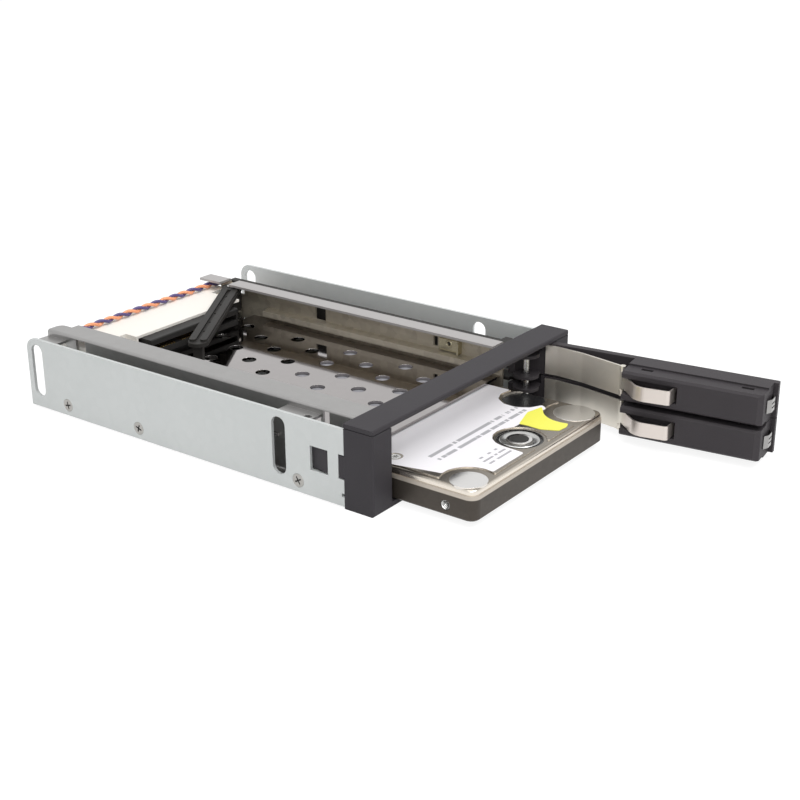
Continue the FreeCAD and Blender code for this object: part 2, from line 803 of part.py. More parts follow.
def catch_clip():
    half = clip_sheet / 2
    middle = door_bottom + door_height / 2
    crown, inner, outer = body_end + clip_rise, -clip_crown_inner, clip_crown_length - clip_crown_inner
    line = [(body_end + half, inner - clip_slope), (crown, inner), (crown, outer),
            (body_end + half, outer + clip_slope)]
    body = folded([closed(along, out, middle - clip_height / 2) for along, out in line], clip_sheet,
                  clip_sheet, UP * clip_height)
    start, end = closed(crown + past, outer, 0), closed(body_end + clip_sheet, inner, 0)
    for share in (-1, 1):
        level = middle + share * clip_height / 6
        body = body.cut(box(start.x, end.x, start.y, end.y, level - clip_slit / 2, level + clip_slit / 2))
    return body


def push_bar():
    low, high = bar_low, bar_top
    pin = crank_pin_diameter / 2
    crank_depth = hinge_depth + crank_radius * math.sin(crank_half_angle)
    start = hinge_depth + hinge_pin_diameter / 2 + bar_travel + 2 * link_play
    finger = crank_depth - pin - link_play
    inner = hinge_x - bar_inset
    outer = inner + bar_head_width
    hook = hinge_x + hinge_pin_diameter / 2 + door_gap
    body = box(inner, inner + bar_width, start, peg_depth + bar_tail, low, high)
    body = fillet_where(body, bar_round, lambda edge: all(v.X < inner + 0.01 and v.Z > high - 0.01
                                                          for v in edge.Vertexes))
    head_end = start + bar_head_length
    body = body.fuse(box(hook, outer, finger - bar_finger, head_end, low, high)).removeSplitter()
    front_guide, rear_guide = guide_depths
    for web_start, web_end in ((start + bar_web_setback, front_guide - link_play),
                               (front_guide + guide_length + bar_travel + link_play, rear_guide - link_play)):
        body = body.fuse(box(inner, inner + bar_thickness, web_start, web_end, low - bar_web,
                             high - bar_round))
    body = body.cut(box(hook - past, hinge_x + crank_radius + pin + link_play, finger,
                        crank_depth + pin + link_play, low - past, high + past))
    peg = V(peg_x, peg_depth, low)
    return body.fuse(rod(pin, peg - UP * (tail_gap + tail_thickness + link_play), peg)).removeSplitter()


def ejector_arm():
    axis = V(pivot_x, pivot_depth, 0)
    lay = arm_bottom + arm_plate
    middle = axis + RIGHT * (arm_length / 2)
    body = obround(middle + UP * arm_bottom, RIGHT, BACK, UP * arm_plate, arm_length + arm_width, arm_width)
    inset = arm_width / 2 - arm_ridge_width / 2 - arm_ridge_inset
    for side in (-1, 1):
        body = body.fuse(obround(middle + BACK * (side * inset) + UP * lay, RIGHT, BACK, UP * arm_ridge,
                                 arm_length + arm_ridge_width, arm_ridge_width))
    tip = axis + RIGHT * arm_length
    body = body.fuse(box(tip.x - foot_size / 2, tip.x + foot_size / 2, tip.y - foot_size / 2,
                         tip.y + foot_size / 2, arm_bottom - foot_drop, arm_bottom))
    step = arm_length / (arm_holes + 1)
    for index in range(arm_holes):
        spot = axis + RIGHT * (step * (index + 1)) + UP * (arm_bottom - past)
        body = body.cut(rod(arm_hole / 2, spot, spot + UP * (arm_plate + 2 * past)))
    body = body.fuse(rod(hub_radius, axis + UP * hub_bottom, axis + UP * arm_top))
    pin = crank_pin_diameter / 2
    near = peg_reach * math.hypot(1, end_slope) - pin - link_play
    far = peg_reach * math.hypot(1, rest_slope) + pin + link_play
    tail_end = far + bar_finger
    tail_low = tail_top - tail_thickness
    start = axis - RIGHT * (tail_end / 2 - tail_width / 4) + UP * tail_low
    body = body.fuse(obround(start, RIGHT, BACK, UP * tail_thickness, tail_end + tail_width / 2, tail_width))
    slot = axis - RIGHT * ((near + far) / 2) + UP * (tail_low - past)
    body = body.cut(obround(slot, RIGHT, BACK, UP * (tail_thickness + 2 * past), far - near,
                            2 * (pin + link_play)))
    bore = pivot_diameter / 2 + running_clearance
    body = body.cut(rod(bore, axis, axis + UP * (arm_top + past))).removeSplitter()
    body.rotate(axis, UP, 180 + arm_rest_angle)
    return body


def pivot_pin():
    axis = V(pivot_x, pivot_depth, 0)
    return rod(pivot_diameter / 2, axis, axis + UP * (arm_top + storey_pitch + pivot_stand))


def pivot_spacers():
    axis = V(pivot_x, pivot_depth, 0)
    rings = []
    for low, high in ((sheet, hub_bottom), (arm_top + running_clearance, hub_bottom + storey_pitch)):
        ring = rod(hub_radius, axis + UP * low, axis + UP * (high - running_clearance))
        rings.append(ring.cut(pivot_pin()))
    return Part.makeCompound(rings)


def backplane_board():
    body = box(board_left, board_right, board_depth, board_rear, sheet, board_top)
    body = body.cut(box(board_slot_left, board_right + past, board_depth - past, board_rear + past,
                        arm_bottom - link_play, arm_top + link_play))
    for screw in board_screws().Solids:
        body = body.cut(screw)
    return body


def drive_socket():
    left, right = socket_x - socket_width / 2, socket_x + socket_width / 2
    high = socket_bottom + socket_height
    body = box(left, right, socket_front, board_depth, socket_bottom, high)
    body = fillet_where(body, socket_wall / 2,
                        lambda edge: all(v.Y < socket_front + 0.01 for v in edge.Vertexes))
    level = (socket_bottom + high) / 2
    rear = socket_front + socket_slot_depth
    return body.cut(box(left + socket_wall, right - socket_wall, socket_front - past, rear,
                        level - socket_slot_height / 2, level + socket_slot_height / 2))


def data_port(side):
    left = drive_x + (data_port_gap / 2 if side > 0 else -data_port_gap / 2 - data_port_width)
    right = left + data_port_width
    low = arm_top + 2 * link_play
    high = low + data_port_height
    rear = board_rear + port_depth
    floor = rear - port_recess
    body = box(left, right, board_rear, rear, low, high)
    wall, middle = port_wall, (low + high) / 2
    body = body.cut(box(left + wall, right - wall, floor, rear + past, low + wall, high - wall))
    tongue = box(left + 2 * wall, right - 2 * wall, floor, rear - wall, middle, middle + wall)
    return body.fuse(tongue).removeSplitter()


def power_inlet():
    left, low = drive_x - power_width / 2, 2 * sheet
    rear = board_rear + port_depth
    body = box(left, left + power_width, board_rear, rear, low, low + power_height)
    pitch = power_width / power_ways
    for index in range(power_ways):
        spot = V(left + pitch * index + pitch / 2, rear - port_recess, low + power_height / 2)
        body = body.cut(rod(power_hole / 2, spot, spot + BACK * (port_recess + past)))
    return body


def insulating_cover():
    top = board_top + cover_sheet
    cover_left, cover_right = left_wall_inner + cover_left_margin, right_wall_inner - cover_right_margin
    pocket_half = notch_share * foot_size / 2 + door_gap
    notch_left, notch_right = foot_shut_x - pocket_half, foot_shut_x + pocket_half
    notch_rear = board_depth - cover_lip
    plug_left, plug_right = plug_x - wire_diameter, plug_x + wire_diameter
    wire_front = wire_depth - wire_diameter
    outline = [(cover_left, cover_front), (notch_left, cover_front), (notch_left, notch_rear),
               (notch_right, notch_rear), (notch_right, cover_front), (board_right, cover_front),
               (board_right, tail_rear), (cover_right, tail_rear), (cover_right, cover_rear),
               (plug_right, cover_rear), (plug_right, wire_front), (plug_left, wire_front),
               (plug_left, cover_rear), (cover_left, cover_rear)]
    body = prism([V(x, y, board_top) for x, y in outline], UP * cover_sheet)
    low = board_top - cover_skirt
    body = body.fuse(box(cover_left, notch_left, cover_front, cover_front + cover_sheet, low, top))
    body = body.fuse(box(cover_left, cover_left + cover_sheet, cover_front, cover_rear, low, top))
    for x in (notch_left - cover_sheet, notch_right):
        body = body.fuse(box(x, x + cover_sheet, cover_front, board_depth, low, top))
    body = body.fuse(box(notch_left, notch_right, notch_rear, board_depth, low, top))
    socket_half = socket_width / 2 + seat_gap
    body = body.cut(box(socket_x - socket_half, socket_x + socket_half, cover_front - past, board_depth,
                        low - past, board_top))
    return body.removeSplitter()


def wire_harness():
    front = bezel_depth + light_board_thickness
    plug_level = board_top - plug_drop
    points = [V(wire_x, front, wire_low), V(wire_x, wire_depth, wire_low),
              V(wire_rise_x, wire_depth, wire_low), V(wire_rise_x, wire_depth, wire_level),
              V(plug_x, wire_depth, wire_level), V(plug_x, wire_depth, plug_level),
              V(plug_x, board_rear + plug_length, plug_level)]
    edges = []
    here = points[0]
    for before, corner, after in zip(points, points[1:], points[2:]):
        into, out = corner - before, after - corner
        radius = wire_share * min(into.Length, out.Length, wire_bend / wire_share)
        first = corner - V(into).normalize() * radius
        last = corner + V(out).normalize() * radius
        centre = first + V(out).normalize() * radius
        edges.append(Part.LineSegment(here, first).toShape())
        edges.append(Part.Arc(first, centre + (corner - centre).normalize() * radius, last).toShape())
        here = last
    edges.append(Part.LineSegment(here, points[-1]).toShape())
    ring = Part.Wire(Part.makeCircle(wire_diameter / 2, points[0], BACK))
    return Part.Wire(edges).makePipeShell([ring], True, False)


def harness_plug():
    level = board_top - plug_drop
    return box(plug_x - plug_width / 2, plug_x + plug_width / 2, board_rear, board_rear + plug_length,
               level - plug_height / 2, level + plug_height / 2)


def drive_ends():
    return drive_x - drive_width / 2, drive_x + drive_width / 2, -drive_out, drive_length - drive_out


def rounded_slab(inset, low, high, radius):
    left, right, front, rear = drive_ends()
    body = box(left + inset, right - inset, front + inset, rear - inset, low, high)
    return fillet_where(body, radius, lambda edge: abs(edge.tangentAt(edge.FirstParameter).z) > 0.9)


def lid_level():
    return drive_bottom + drive_height - lid_thickness


def drive_casting():
    left, right, front, rear = drive_ends()
    body = rounded_slab(0, drive_bottom, lid_level(), drive_corner)
    body = body.makeChamfer(casting_chamfer, [edge for edge in body.Edges
                                              if all(v.Z < drive_bottom + 0.01 for v in edge.Vertexes)])
    body = body.cut(plug_space())
    body = body.cut(board_space())
    for setback in (side_hole_setback, side_hole_setback + side_hole_spacing):
        for x in (left, right - side_hole_depth):
            spot = V(x, front + setback, drive_bottom + side_hole_level)
            body = body.cut(rod(side_hole / 2, spot, spot + RIGHT * side_hole_depth))
    for screw in drive_lid_screws().Solids:
        body = body.cut(screw)
    return body.removeSplitter()


def plug_space():
    rear = drive_ends()[3]
    half = socket_width / 2 + 3 * door_gap
    return box(socket_x - half, socket_x + half, rear - plug_recess, rear + past, drive_bottom - past,
               socket_bottom + socket_height + 3 * door_gap)


def board_space():
    left, right, front, rear = drive_ends()
    return box(left + board_margin, right - board_margin, rear - drive_board_length, rear - plug_recess,
               drive_bottom - past, drive_bottom + drive_board_depth)


def drive_board():
    space = board_space().BoundBox
    top = drive_bottom + drive_board_depth
    return box(space.XMin + door_gap, space.XMax - door_gap, space.YMin + door_gap, space.YMax,
               top - drive_board_thickness, top)


def drive_plug():
    rear = drive_ends()[3]
    start = rear - plug_recess
    level = socket_bottom + socket_height / 2
    left, right = socket_x - socket_width / 2 + socket_wall, socket_x + socket_width / 2 - socket_wall
    body = box(left, right, start, start + plug_base, socket_bottom + door_gap,
               socket_bottom + socket_height - door_gap)
    tongue = socket_slot_height / 2 - link_play
    return body.fuse(box(left + link_play, right - link_play, start + plug_base, rear - socket_wall,
                         level - tongue, level + tongue)).removeSplitter()


def lid_marks():
    """Centres and radii of the round places in the lid: spindle, left seal, right seal and vent well."""
    left, right, front, rear = drive_ends()
    return ((drive_x + spindle_shift, front + spindle_setback, spindle_well / 2),
            (left + left_seal_inset, front + left_seal_inset, left_seal / 2),
            (right - right_seal_inset, front + right_seal_inset, right_seal / 2),
            (right - vent_well_inset, front + vent_well_setback, vent_well / 2))


def lid_screw_spots():
    left, right, front, rear = drive_ends()
    near, far, back = left + lid_screw_inset, right - lid_screw_inset, rear - lid_screw_inset
    spots = ((near, front + lid_screw_middle), (near, back), (far, back))
    return [V(x, y, lid_level()) for x, y in spots]


def drive_lid_screws():
    screws = []
    for spot in lid_screw_spots():
        head = rod(lid_screw_head / 2, spot + UP * (lid_thickness / 2), spot + UP * lid_thickness)
        shank = rod(lid_screw_shank / 2, spot - UP * lid_screw_length, spot + UP * (lid_thickness / 2))
        screws.append(head.fuse(shank).removeSplitter())
    return Part.makeCompound(screws)


def drive_lid():
    top = lid_level() + lid_thickness
    rim = top - lid_step
    body = rounded_slab(lid_inset, lid_level(), rim, drive_corner - lid_inset)
    body = fillet_where(body, lid_round, lambda edge: all(v.Z > rim - 0.01 for v in edge.Vertexes))
    field = rounded_slab(lid_margin, rim - lid_step, top, drive_corner - lid_margin)
    spindle, *seals, vent = lid_marks()
    for gap, marks in ((seal_margin, seals), (field_gap, (spindle, vent))):
        for x, y, radius in marks:
            field = field.cut(rod(radius + gap, V(x, y, rim - lid_thickness), V(x, y, top + past)))
    field = fillet_where(field, field_round, lambda edge: abs(edge.tangentAt(edge.FirstParameter).z) > 0.9)
    body = body.fuse(field)
    for x, y, radius in seals:
        body = body.fuse(rod(radius, V(x, y, rim - lid_step), V(x, y, rim + seal_thickness)))
    for x, y, radius in (spindle, vent):
        body = body.cut(rod(radius, V(x, y, rim - well_depth), V(x, y, top + past)))
    x, y, radius = spindle
    body = body.fuse(rod(spindle_hub / 2, V(x, y, rim - 2 * well_depth), V(x, y, rim)))
    for screw in drive_lid_screws().Solids:
        body = body.cut(screw)
    return body.removeSplitter()


def export(name, shape):
    shape = shape.copy()
    shape.translate(BACK * (-rack_depth / 2))
    shape.exportStep("parts/" + name + ".step")
    print(name, shape.isValid(), len(shape.Solids), round(shape.Volume, 1))


os.makedirs("parts", exist_ok=True)
plate = side_plate()
export("bezel", bezel())
export("base_tray", base_tray())
export("right_side_plate", plate)
export("left_side_plate", plate.mirror(V(), RIGHT))
export("side_plate_screws", side_plate_screws())
export("left_cage_wall", left_cage_wall())
export("right_cage_wall", right_cage_wall())
export("middle_shelf", middle_shelf())
export("detent_clip", detent_clip())
export("hinge_pin", hinge_pin())
export("pivot_pin", pivot_pin())
export("pivot_spacers", pivot_spacers())
export("backplane_board", backplane_board())
export("board_screws", board_screws())
export("left_data_port", data_port(-1))
export("right_data_port", data_port(1))
export("power_inlet", power_inlet())
export("insulating_cover", insulating_cover())
export("wire_harness", wire_harness())
export("harness_plug", harness_plug())
export("light_board", light_board())
export("light_pipes", Part.makeCompound([light_pipe(0), light_pipe(1)]))
for storey, place in enumerate(("lower", "upper")):
    export(place + "_drive_socket", moved(drive_socket(), storey))
    export(place + "_push_bar", moved(push_bar(), storey))
    export(place + "_ejector_arm", moved(ejector_arm(), storey))
    export(place + "_door_front", opened(door_front(), storey))
    export(place + "_door_body", opened(door_body(), storey))
    export(place + "_door_spring", opened(door_spring(), storey))
    export(place + "_catch_clip", opened(catch_clip(), storey))
export("drive_casting", drive_casting())
export("drive_lid", drive_lid())
export("drive_board", drive_board())
export("drive_plug", drive_plug())
export("drive_lid_screws", drive_lid_screws())
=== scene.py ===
import bpy
import json
import math
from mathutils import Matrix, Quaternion, Vector


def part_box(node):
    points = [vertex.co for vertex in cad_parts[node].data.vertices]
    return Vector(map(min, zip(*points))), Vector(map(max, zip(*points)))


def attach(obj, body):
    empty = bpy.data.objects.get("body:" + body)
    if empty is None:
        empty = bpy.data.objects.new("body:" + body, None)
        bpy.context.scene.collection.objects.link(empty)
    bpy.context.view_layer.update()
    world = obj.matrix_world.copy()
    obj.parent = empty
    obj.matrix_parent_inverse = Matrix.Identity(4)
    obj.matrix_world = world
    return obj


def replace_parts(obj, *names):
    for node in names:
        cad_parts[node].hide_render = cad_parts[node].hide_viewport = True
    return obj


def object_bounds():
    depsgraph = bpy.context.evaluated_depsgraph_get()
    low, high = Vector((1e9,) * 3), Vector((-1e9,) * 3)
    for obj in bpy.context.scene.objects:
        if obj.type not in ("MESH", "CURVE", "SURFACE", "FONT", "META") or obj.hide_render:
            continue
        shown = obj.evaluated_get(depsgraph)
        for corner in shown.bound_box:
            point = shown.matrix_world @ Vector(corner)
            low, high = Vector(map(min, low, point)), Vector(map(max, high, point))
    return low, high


# Dual 2.5-inch hot-swap rack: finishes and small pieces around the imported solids, in metres
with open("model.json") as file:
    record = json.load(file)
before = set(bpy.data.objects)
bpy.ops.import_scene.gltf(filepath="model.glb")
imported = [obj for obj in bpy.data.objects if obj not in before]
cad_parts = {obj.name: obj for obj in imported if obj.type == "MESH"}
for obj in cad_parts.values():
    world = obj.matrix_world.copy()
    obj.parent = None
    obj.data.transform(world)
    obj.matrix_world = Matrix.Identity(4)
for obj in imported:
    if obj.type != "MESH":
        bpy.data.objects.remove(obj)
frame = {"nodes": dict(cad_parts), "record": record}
cadLow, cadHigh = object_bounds()
nodes = frame["nodes"]
mm = 0.001
print("frame loaded:", len(nodes), "nodes")


# one socket of a node tree, so that shader maths reads as maths
class Link:
    def __init__(self, finish, socket):
        self.finish = finish
        self.socket = socket

    def maths(self, operation, first, second):
        return self.finish.node("Math", {"operation": operation}, {0: first, 1: second})

    def __add__(self, other):
        return self.maths("ADD", self, other)

    def __radd__(self, other):
        return self.maths("ADD", other, self)

    def __sub__(self, other):
        return self.maths("SUBTRACT", self, other)

    def __rsub__(self, other):
        return self.maths("SUBTRACT", other, self)

    def __mul__(self, other):
        return self.maths("MULTIPLY", self, other)

    def __rmul__(self, other):
        return self.maths("MULTIPLY", other, self)

    def __gt__(self, other):
        return self.maths("GREATER_THAN", self, other)

    def __lt__(self, other):
        return self.maths("LESS_THAN", self, other)


# edge wear and painted edge highlight begin where the softened normal leaves the face's own, as the cosine
# between them
edgeWearAndSheen = {"samples": 4, "begins": 0.985, "full": 0.85}


# a material or the world, with the nodes that feed its shader
class Finish:
    def __init__(self, name, library="materials", shader="Principled BSDF"):
        self.owner = getattr(bpy.data, library).new(name)
        self.owner.use_nodes = True
        self.tree = self.owner.node_tree
        self.shader = self.tree.nodes[shader]

    def feed(self, socket, value):
        if isinstance(value, Link):
            self.tree.links.new(value.socket, socket)
        else:
            socket.default_value = value

    def node(self, kind, settings, inputs, output=0):
        made = self.tree.nodes.new("ShaderNode" + kind)
        for key, value in settings.items():
            setattr(made, key, value)
        for key, value in inputs.items():
            self.feed(made.inputs[key], value)
        return Link(self, made.outputs[output])

    def spot(self, stretch=(1, 1, 1), turn=(0, 0, 0)):
        coords = self.node("TexCoord", {}, {}, "Object")
        return self.node("Mapping", {}, {"Vector": coords, "Scale": stretch, "Rotation": turn})

    def noise(self, scale, stretch=(1, 1, 1), detail=3):
        return self.node("TexNoise", {}, {"Vector": self.spot(stretch), "Scale": scale, "Detail": detail})

    def axis(self, name):
        return self.node("SeparateXYZ", {}, {"Vector": self.spot()}, name)

    # how far a face looks up, from 1 on top to -1 underneath
    def facing(self):
        normal = self.node("TexCoord", {}, {}, "Normal")
        return self.node("SeparateXYZ", {}, {"Vector": normal}, "Z")

    def blend(self, share, first, second):
        return self.node("Mix", {"data_type": "RGBA"}, {0: share, 6: (*first, 1), 7: (*second, 1)}, 2)

    def over(self, share, under, colour):
        return self.node("Mix", {"data_type": "RGBA"}, {0: share, 6: under, 7: (*colour, 1)}, 2)

    def ramp(self, value, low, high):
        return self.node("MapRange", {}, {"Value": value, "From Min": low, "From Max": high})

    def disc(self, x, y, radius, soft):
        flat = self.node("VectorMath", {"operation": "MULTIPLY"}, {0: self.spot(), 1: (1, 1, 0)})
        reach = self.node("VectorMath", {"operation": "DISTANCE"}, {0: flat, 1: (x, y, 0)}, "Value")
        return self.ramp(reach, radius + soft, radius - soft)

    # softened normal near an edge, and how strongly it differs from the face itself
    def edges(self, width):
        rounded = self.node("Bevel", {"samples": edgeWearAndSheen["samples"]}, {"Radius": width})
        face = self.node("NewGeometry", {}, {}, "True Normal")
        turn = self.node("VectorMath", {"operation": "DOT_PRODUCT"}, {0: rounded, 1: face}, "Value")
        return rounded, self.ramp(turn, edgeWearAndSheen["begins"], edgeWearAndSheen["full"])

    def bump(self, height, strength, depth, normal):
        inputs = {"Strength": strength, "Distance": depth, "Height": height, "Normal": normal}
        return self.node("Bump", {}, inputs)

    # rays that show the backdrop as it is: the camera's own, and those in metal and glass
    def backdropRays(self):
        seen = self.node("LightPath", {}, {}, "Is Camera Ray")
        shown = self.node("LightPath", {}, {}, "Is Glossy Ray")
        through = self.node("LightPath", {}, {}, "Is Transmission Ray")
        return seen + shown + through

    def surface(self, **values):
        for key, value in values.items():
            self.feed(self.shader.inputs[key.replace("_", " ")], value)
        return self.owner


# metal finishes: colours, roughness with its spread, depth and run of the grain
along = (60, 2, 60)
across = (2, 60, 60)
upright = (60, 60, 2)
evenly = (1, 1, 1)
metals = {
    "zincSheet": {"light": (0.555, 0.573, 0.568), "dark": (0.505, 0.527, 0.522), "edge": (0.66, 0.68, 0.67),
                  "metallic": 0.25, "rough": 0.44, "spread": 0.16, "depth": 0.01 * mm, "grain": along},
    # painted light: the far side plate is a lighter copy of the zinc sheet, brightened against the shade on
    # its inner face
    "farPlateLightened": {"light": (0.64, 0.66, 0.653), "dark": (0.585, 0.61, 0.603), "edge": (0.7, 0.72, 0.71),
                 "metallic": 0.25, "rough": 0.44, "spread": 0.16, "depth": 0.01 * mm, "grain": along},
    "nearWall": {"light": (0.37, 0.365, 0.36), "dark": (0.325, 0.32, 0.315), "edge": (0.56, 0.55, 0.54),
                 "metallic": 0.85, "rough": 0.26, "spread": 0.14, "depth": 0.004 * mm, "grain": along},
    # painted reflections: the far wall's face gets wide light and dark beige streaks, and faces that look
    # down a bright colour as painted light; its flange top keeps a plain grey
    "farWall": {"light": (0.53, 0.485, 0.4), "dark": (0.25, 0.222, 0.178), "edge": (0.5, 0.47, 0.41),
                "metallic": 0.45, "rough": 0.3, "spread": 0.14, "depth": 0.004 * mm, "grain": along,
                "zone": (0.4, 0.385, 0.38), "under": (0.86, 0.79, 0.66), "paintedReflectionBands": (1, 0.25, 6)},
    "brightSheet": {"light": (0.39, 0.37, 0.365), "dark": (0.36, 0.34, 0.335), "edge": (0.66, 0.64, 0.62),
                    "metallic": 1.0, "rough": 0.045, "spread": 0.03, "depth": 0.0006 * mm, "grain": across},
    "clipSheet": {"light": (0.5, 0.46, 0.33), "dark": (0.42, 0.385, 0.27), "edge": (0.7, 0.67, 0.55),
                  "metallic": 1.0, "rough": 0.16, "spread": 0.1, "depth": 0.002 * mm, "grain": across},
    "springSteel": {"light": (0.78, 0.735, 0.655), "dark": (0.7, 0.67, 0.605), "edge": (0.75, 0.72, 0.66),
                    "metallic": 0.9, "rough": 0.3, "spread": 0.12, "depth": 0.002 * mm, "grain": across,
                    "zone": (0.68, 0.62, 0.575)},
    "clipSteel": {"light": (0.38, 0.375, 0.365), "dark": (0.31, 0.305, 0.3), "edge": (0.6, 0.59, 0.57),
                  "metallic": 1.0, "rough": 0.26, "spread": 0.1, "depth": 0.002 * mm, "grain": upright},
    "pinSteel": {"light": (0.62, 0.62, 0.61), "dark": (0.5, 0.5, 0.49), "edge": (0.75, 0.75, 0.74),
                 "metallic": 1.0, "rough": 0.16, "spread": 0.1, "depth": 0.003 * mm, "grain": upright},
    # painted shade: the screws' slots and sunken parts get the near-black zone colour
    "screwSteel": {"light": (0.43, 0.42, 0.4), "dark": (0.33, 0.32, 0.3), "edge": (0.62, 0.61, 0.59),
                   "metallic": 1.0, "rough": 0.24, "spread": 0.1, "depth": 0.003 * mm, "grain": upright,
                   "zone": (0.07, 0.068, 0.064)},
    "goldPlate": {"light": (0.75, 0.52, 0.18), "dark": (0.66, 0.44, 0.14), "edge": (0.85, 0.66, 0.32),
                  "metallic": 1.0, "rough": 0.2, "spread": 0.1, "depth": 0.001 * mm, "grain": evenly},
    "tinPlate": {"light": (0.6, 0.59, 0.57), "dark": (0.5, 0.49, 0.47), "edge": (0.72, 0.71, 0.69),
                 "metallic": 1.0, "rough": 0.24, "spread": 0.12, "depth": 0.002 * mm, "grain": evenly},
    # painted sheen: the casting's top band gets a bright champagne, standing in for a taller lid rim
    "driveCasting": {"light": (0.071, 0.06, 0.05), "dark": (0.05, 0.042, 0.035), "edge": (0.19, 0.17, 0.15),
                     "metallic": 0.6, "rough": 0.34, "spread": 0.14, "depth": 0.02 * mm, "grain": evenly,
                     "zone": (0.5, 0.45, 0.39)},
}
# what all the metals share: pattern scales and their shares, edge wear with its painted edge highlight, and
# where a face counts as underneath for painted light
metalLook = {"cloud": 55, "grain": 900, "flake": 420, "cloudShare": 0.7, "flakeShare": 0.3,
             "edge": 0.1 * mm, "wearAndSheen": 0.7, "bump": 0.25, "under": (-0.15, -0.5)}


def sheetMetal(name, zone=None):
    look = metals[name]
    finish = Finish(name)
    # on the far wall this cloud is stretched into long streaks, as painted reflections
    cloud = finish.noise(metalLook["cloud"], look.get("paintedReflectionBands", evenly), 4)
    grain = finish.noise(metalLook["grain"], look["grain"], 2)
    spangle = finish.node("TexVoronoi", {}, {"Vector": finish.spot(), "Scale": metalLook["flake"]}, "Color")
    flake = finish.node("SeparateColor", {}, {"Color": spangle})
    tone = cloud * metalLook["cloudShare"] + flake * metalLook["flakeShare"]
    colour = finish.blend(tone, look["dark"], look["light"])
    if zone:
        colour = finish.over(zone(finish), colour, look["zone"])
    # painted light: faces that look down are painted a brighter colour
    if "under" in look:
        colour = finish.over(finish.ramp(finish.facing(), *metalLook["under"]), colour, look["under"])
    rounded, wearAndSheen = finish.edges(metalLook["edge"])
    # painted edge highlight: edges turn to the lighter edge colour, partly as wear
    colour = finish.over(wearAndSheen * metalLook["wearAndSheen"], colour, look["edge"])
    return finish.surface(Base_Color=colour, Metallic=look["metallic"],
                          Roughness=grain * look["spread"] + look["rough"],
                          Normal=finish.bump(grain, metalLook["bump"], look["depth"], rounded))


# plastic finishes
plastics = {
    "bezelPlastic": {"light": (0.044, 0.041, 0.0455), "dark": (0.036, 0.033, 0.037),
                     "edge": (0.085, 0.081, 0.087), "rough": 0.45, "scale": 7000, "depth": 0.03 * mm,
                     "shine": 0.14},
    "doorPlastic": {"light": (0.048, 0.043, 0.047), "dark": (0.038, 0.034, 0.037),
                    "edge": (0.095, 0.089, 0.093), "rough": 0.42, "scale": 7000, "depth": 0.03 * mm,
                    "shine": 0.16},
    "armPlastic": {"light": (0.03, 0.028, 0.026), "dark": (0.02, 0.019, 0.018), "edge": (0.075, 0.071, 0.066),
                   "rough": 0.42, "scale": 5000, "depth": 0.03 * mm, "shine": 0.16},
    "connectorBlack": {"light": (0.024, 0.023, 0.022), "dark": (0.016, 0.0155, 0.015),
                       "edge": (0.06, 0.058, 0.055), "rough": 0.38, "scale": 6000, "depth": 0.02 * mm,
                       "shine": 0.25},
    "coverWhite": {"light": (0.87, 0.84, 0.79), "dark": (0.83, 0.8, 0.74), "edge": (0.88, 0.86, 0.82),
                   "rough": 0.45, "scale": 2500, "depth": 0.02 * mm, "shine": 0.3},
    "clearPlastic": {"light": (0.75, 0.8, 0.8), "dark": (0.7, 0.75, 0.75), "edge": (0.85, 0.88, 0.88),
                     "rough": 0.12, "scale": 3000, "depth": 0.005 * mm, "shine": 0.5},
    "orangeSheath": {"light": (0.9, 0.37, 0.19), "dark": (0.84, 0.31, 0.14), "edge": (0.92, 0.48, 0.3),
                     "rough": 0.32, "scale": 3000, "depth": 0.005 * mm, "shine": 0.5},
    "navySheath": {"light": (0.085, 0.06, 0.2), "dark": (0.065, 0.045, 0.15), "edge": (0.14, 0.11, 0.27),
                   "rough": 0.32, "scale": 3000, "depth": 0.005 * mm, "shine": 0.5},
    "capTan": {"light": (0.36, 0.25, 0.15), "dark": (0.3, 0.2, 0.12), "edge": (0.45, 0.34, 0.22),
               "rough": 0.35, "scale": 3000, "depth": 0.004 * mm, "shine": 0.4},
}
plasticLook = {"cloud": 70, "edge": 0.16 * mm, "wearAndSheen": 0.6, "spread": 0.2, "bump": 0.35}


def mouldedPlastic(name):
    look = plastics[name]
    finish = Finish(name)
    cloud = finish.noise(plasticLook["cloud"], detail=4)
    grain = finish.noise(look["scale"], detail=2)
    rounded, wearAndSheen = finish.edges(plasticLook["edge"])
    colour = finish.blend(cloud, look["dark"], look["light"])
    # painted edge highlight: edges turn to the lighter edge colour, partly as wear
    colour = finish.over(wearAndSheen * plasticLook["wearAndSheen"], colour, look["edge"])
    return finish.surface(Base_Color=colour, Roughness=grain * plasticLook["spread"] + look["rough"],
                          Specular_IOR_Level=look["shine"],
                          Normal=finish.bump(grain, plasticLook["bump"], look["depth"], rounded))


# solder mask with raised tracks
maskLook = {"light": (0.03, 0.16, 0.06), "dark": (0.012, 0.085, 0.035), "edge": (0.3, 0.28, 0.16),
            "tracks": 330, "line": 0.05, "shift": 0.35, "cloud": 220, "trackShare": 0.7, "cloudShare": 0.3,
            "bare": 0.08 * mm, "wearAndSheen": 0.8, "rough": 0.26, "spread": 0.15, "bump": 0.4, "depth": 0.03 * mm}


def boardMask(name):
    finish = Finish(name)
    white = (1, 1, 1, 1)
    tracks = finish.node("TexBrick", {"offset": maskLook["shift"]},
                         {"Vector": finish.spot(turn=(math.pi / 2, 0, 0)), "Scale": maskLook["tracks"],
                          "Mortar Size": maskLook["line"], "Color1": white, "Color2": white,
                          "Mortar": (0, 0, 0, 1)}, "Fac")
    cloud = finish.noise(maskLook["cloud"], detail=2)
    rounded, wearAndSheen = finish.edges(maskLook["bare"])
    tone = tracks * maskLook["trackShare"] + cloud * maskLook["cloudShare"]
    colour = finish.blend(tone, maskLook["dark"], maskLook["light"])
    colour = finish.over(wearAndSheen * maskLook["wearAndSheen"], colour, maskLook["edge"])
    return finish.surface(Base_Color=colour, Roughness=cloud * maskLook["spread"] + maskLook["rough"],
                          Normal=finish.bump(tracks, maskLook["bump"], maskLook["depth"], rounded))


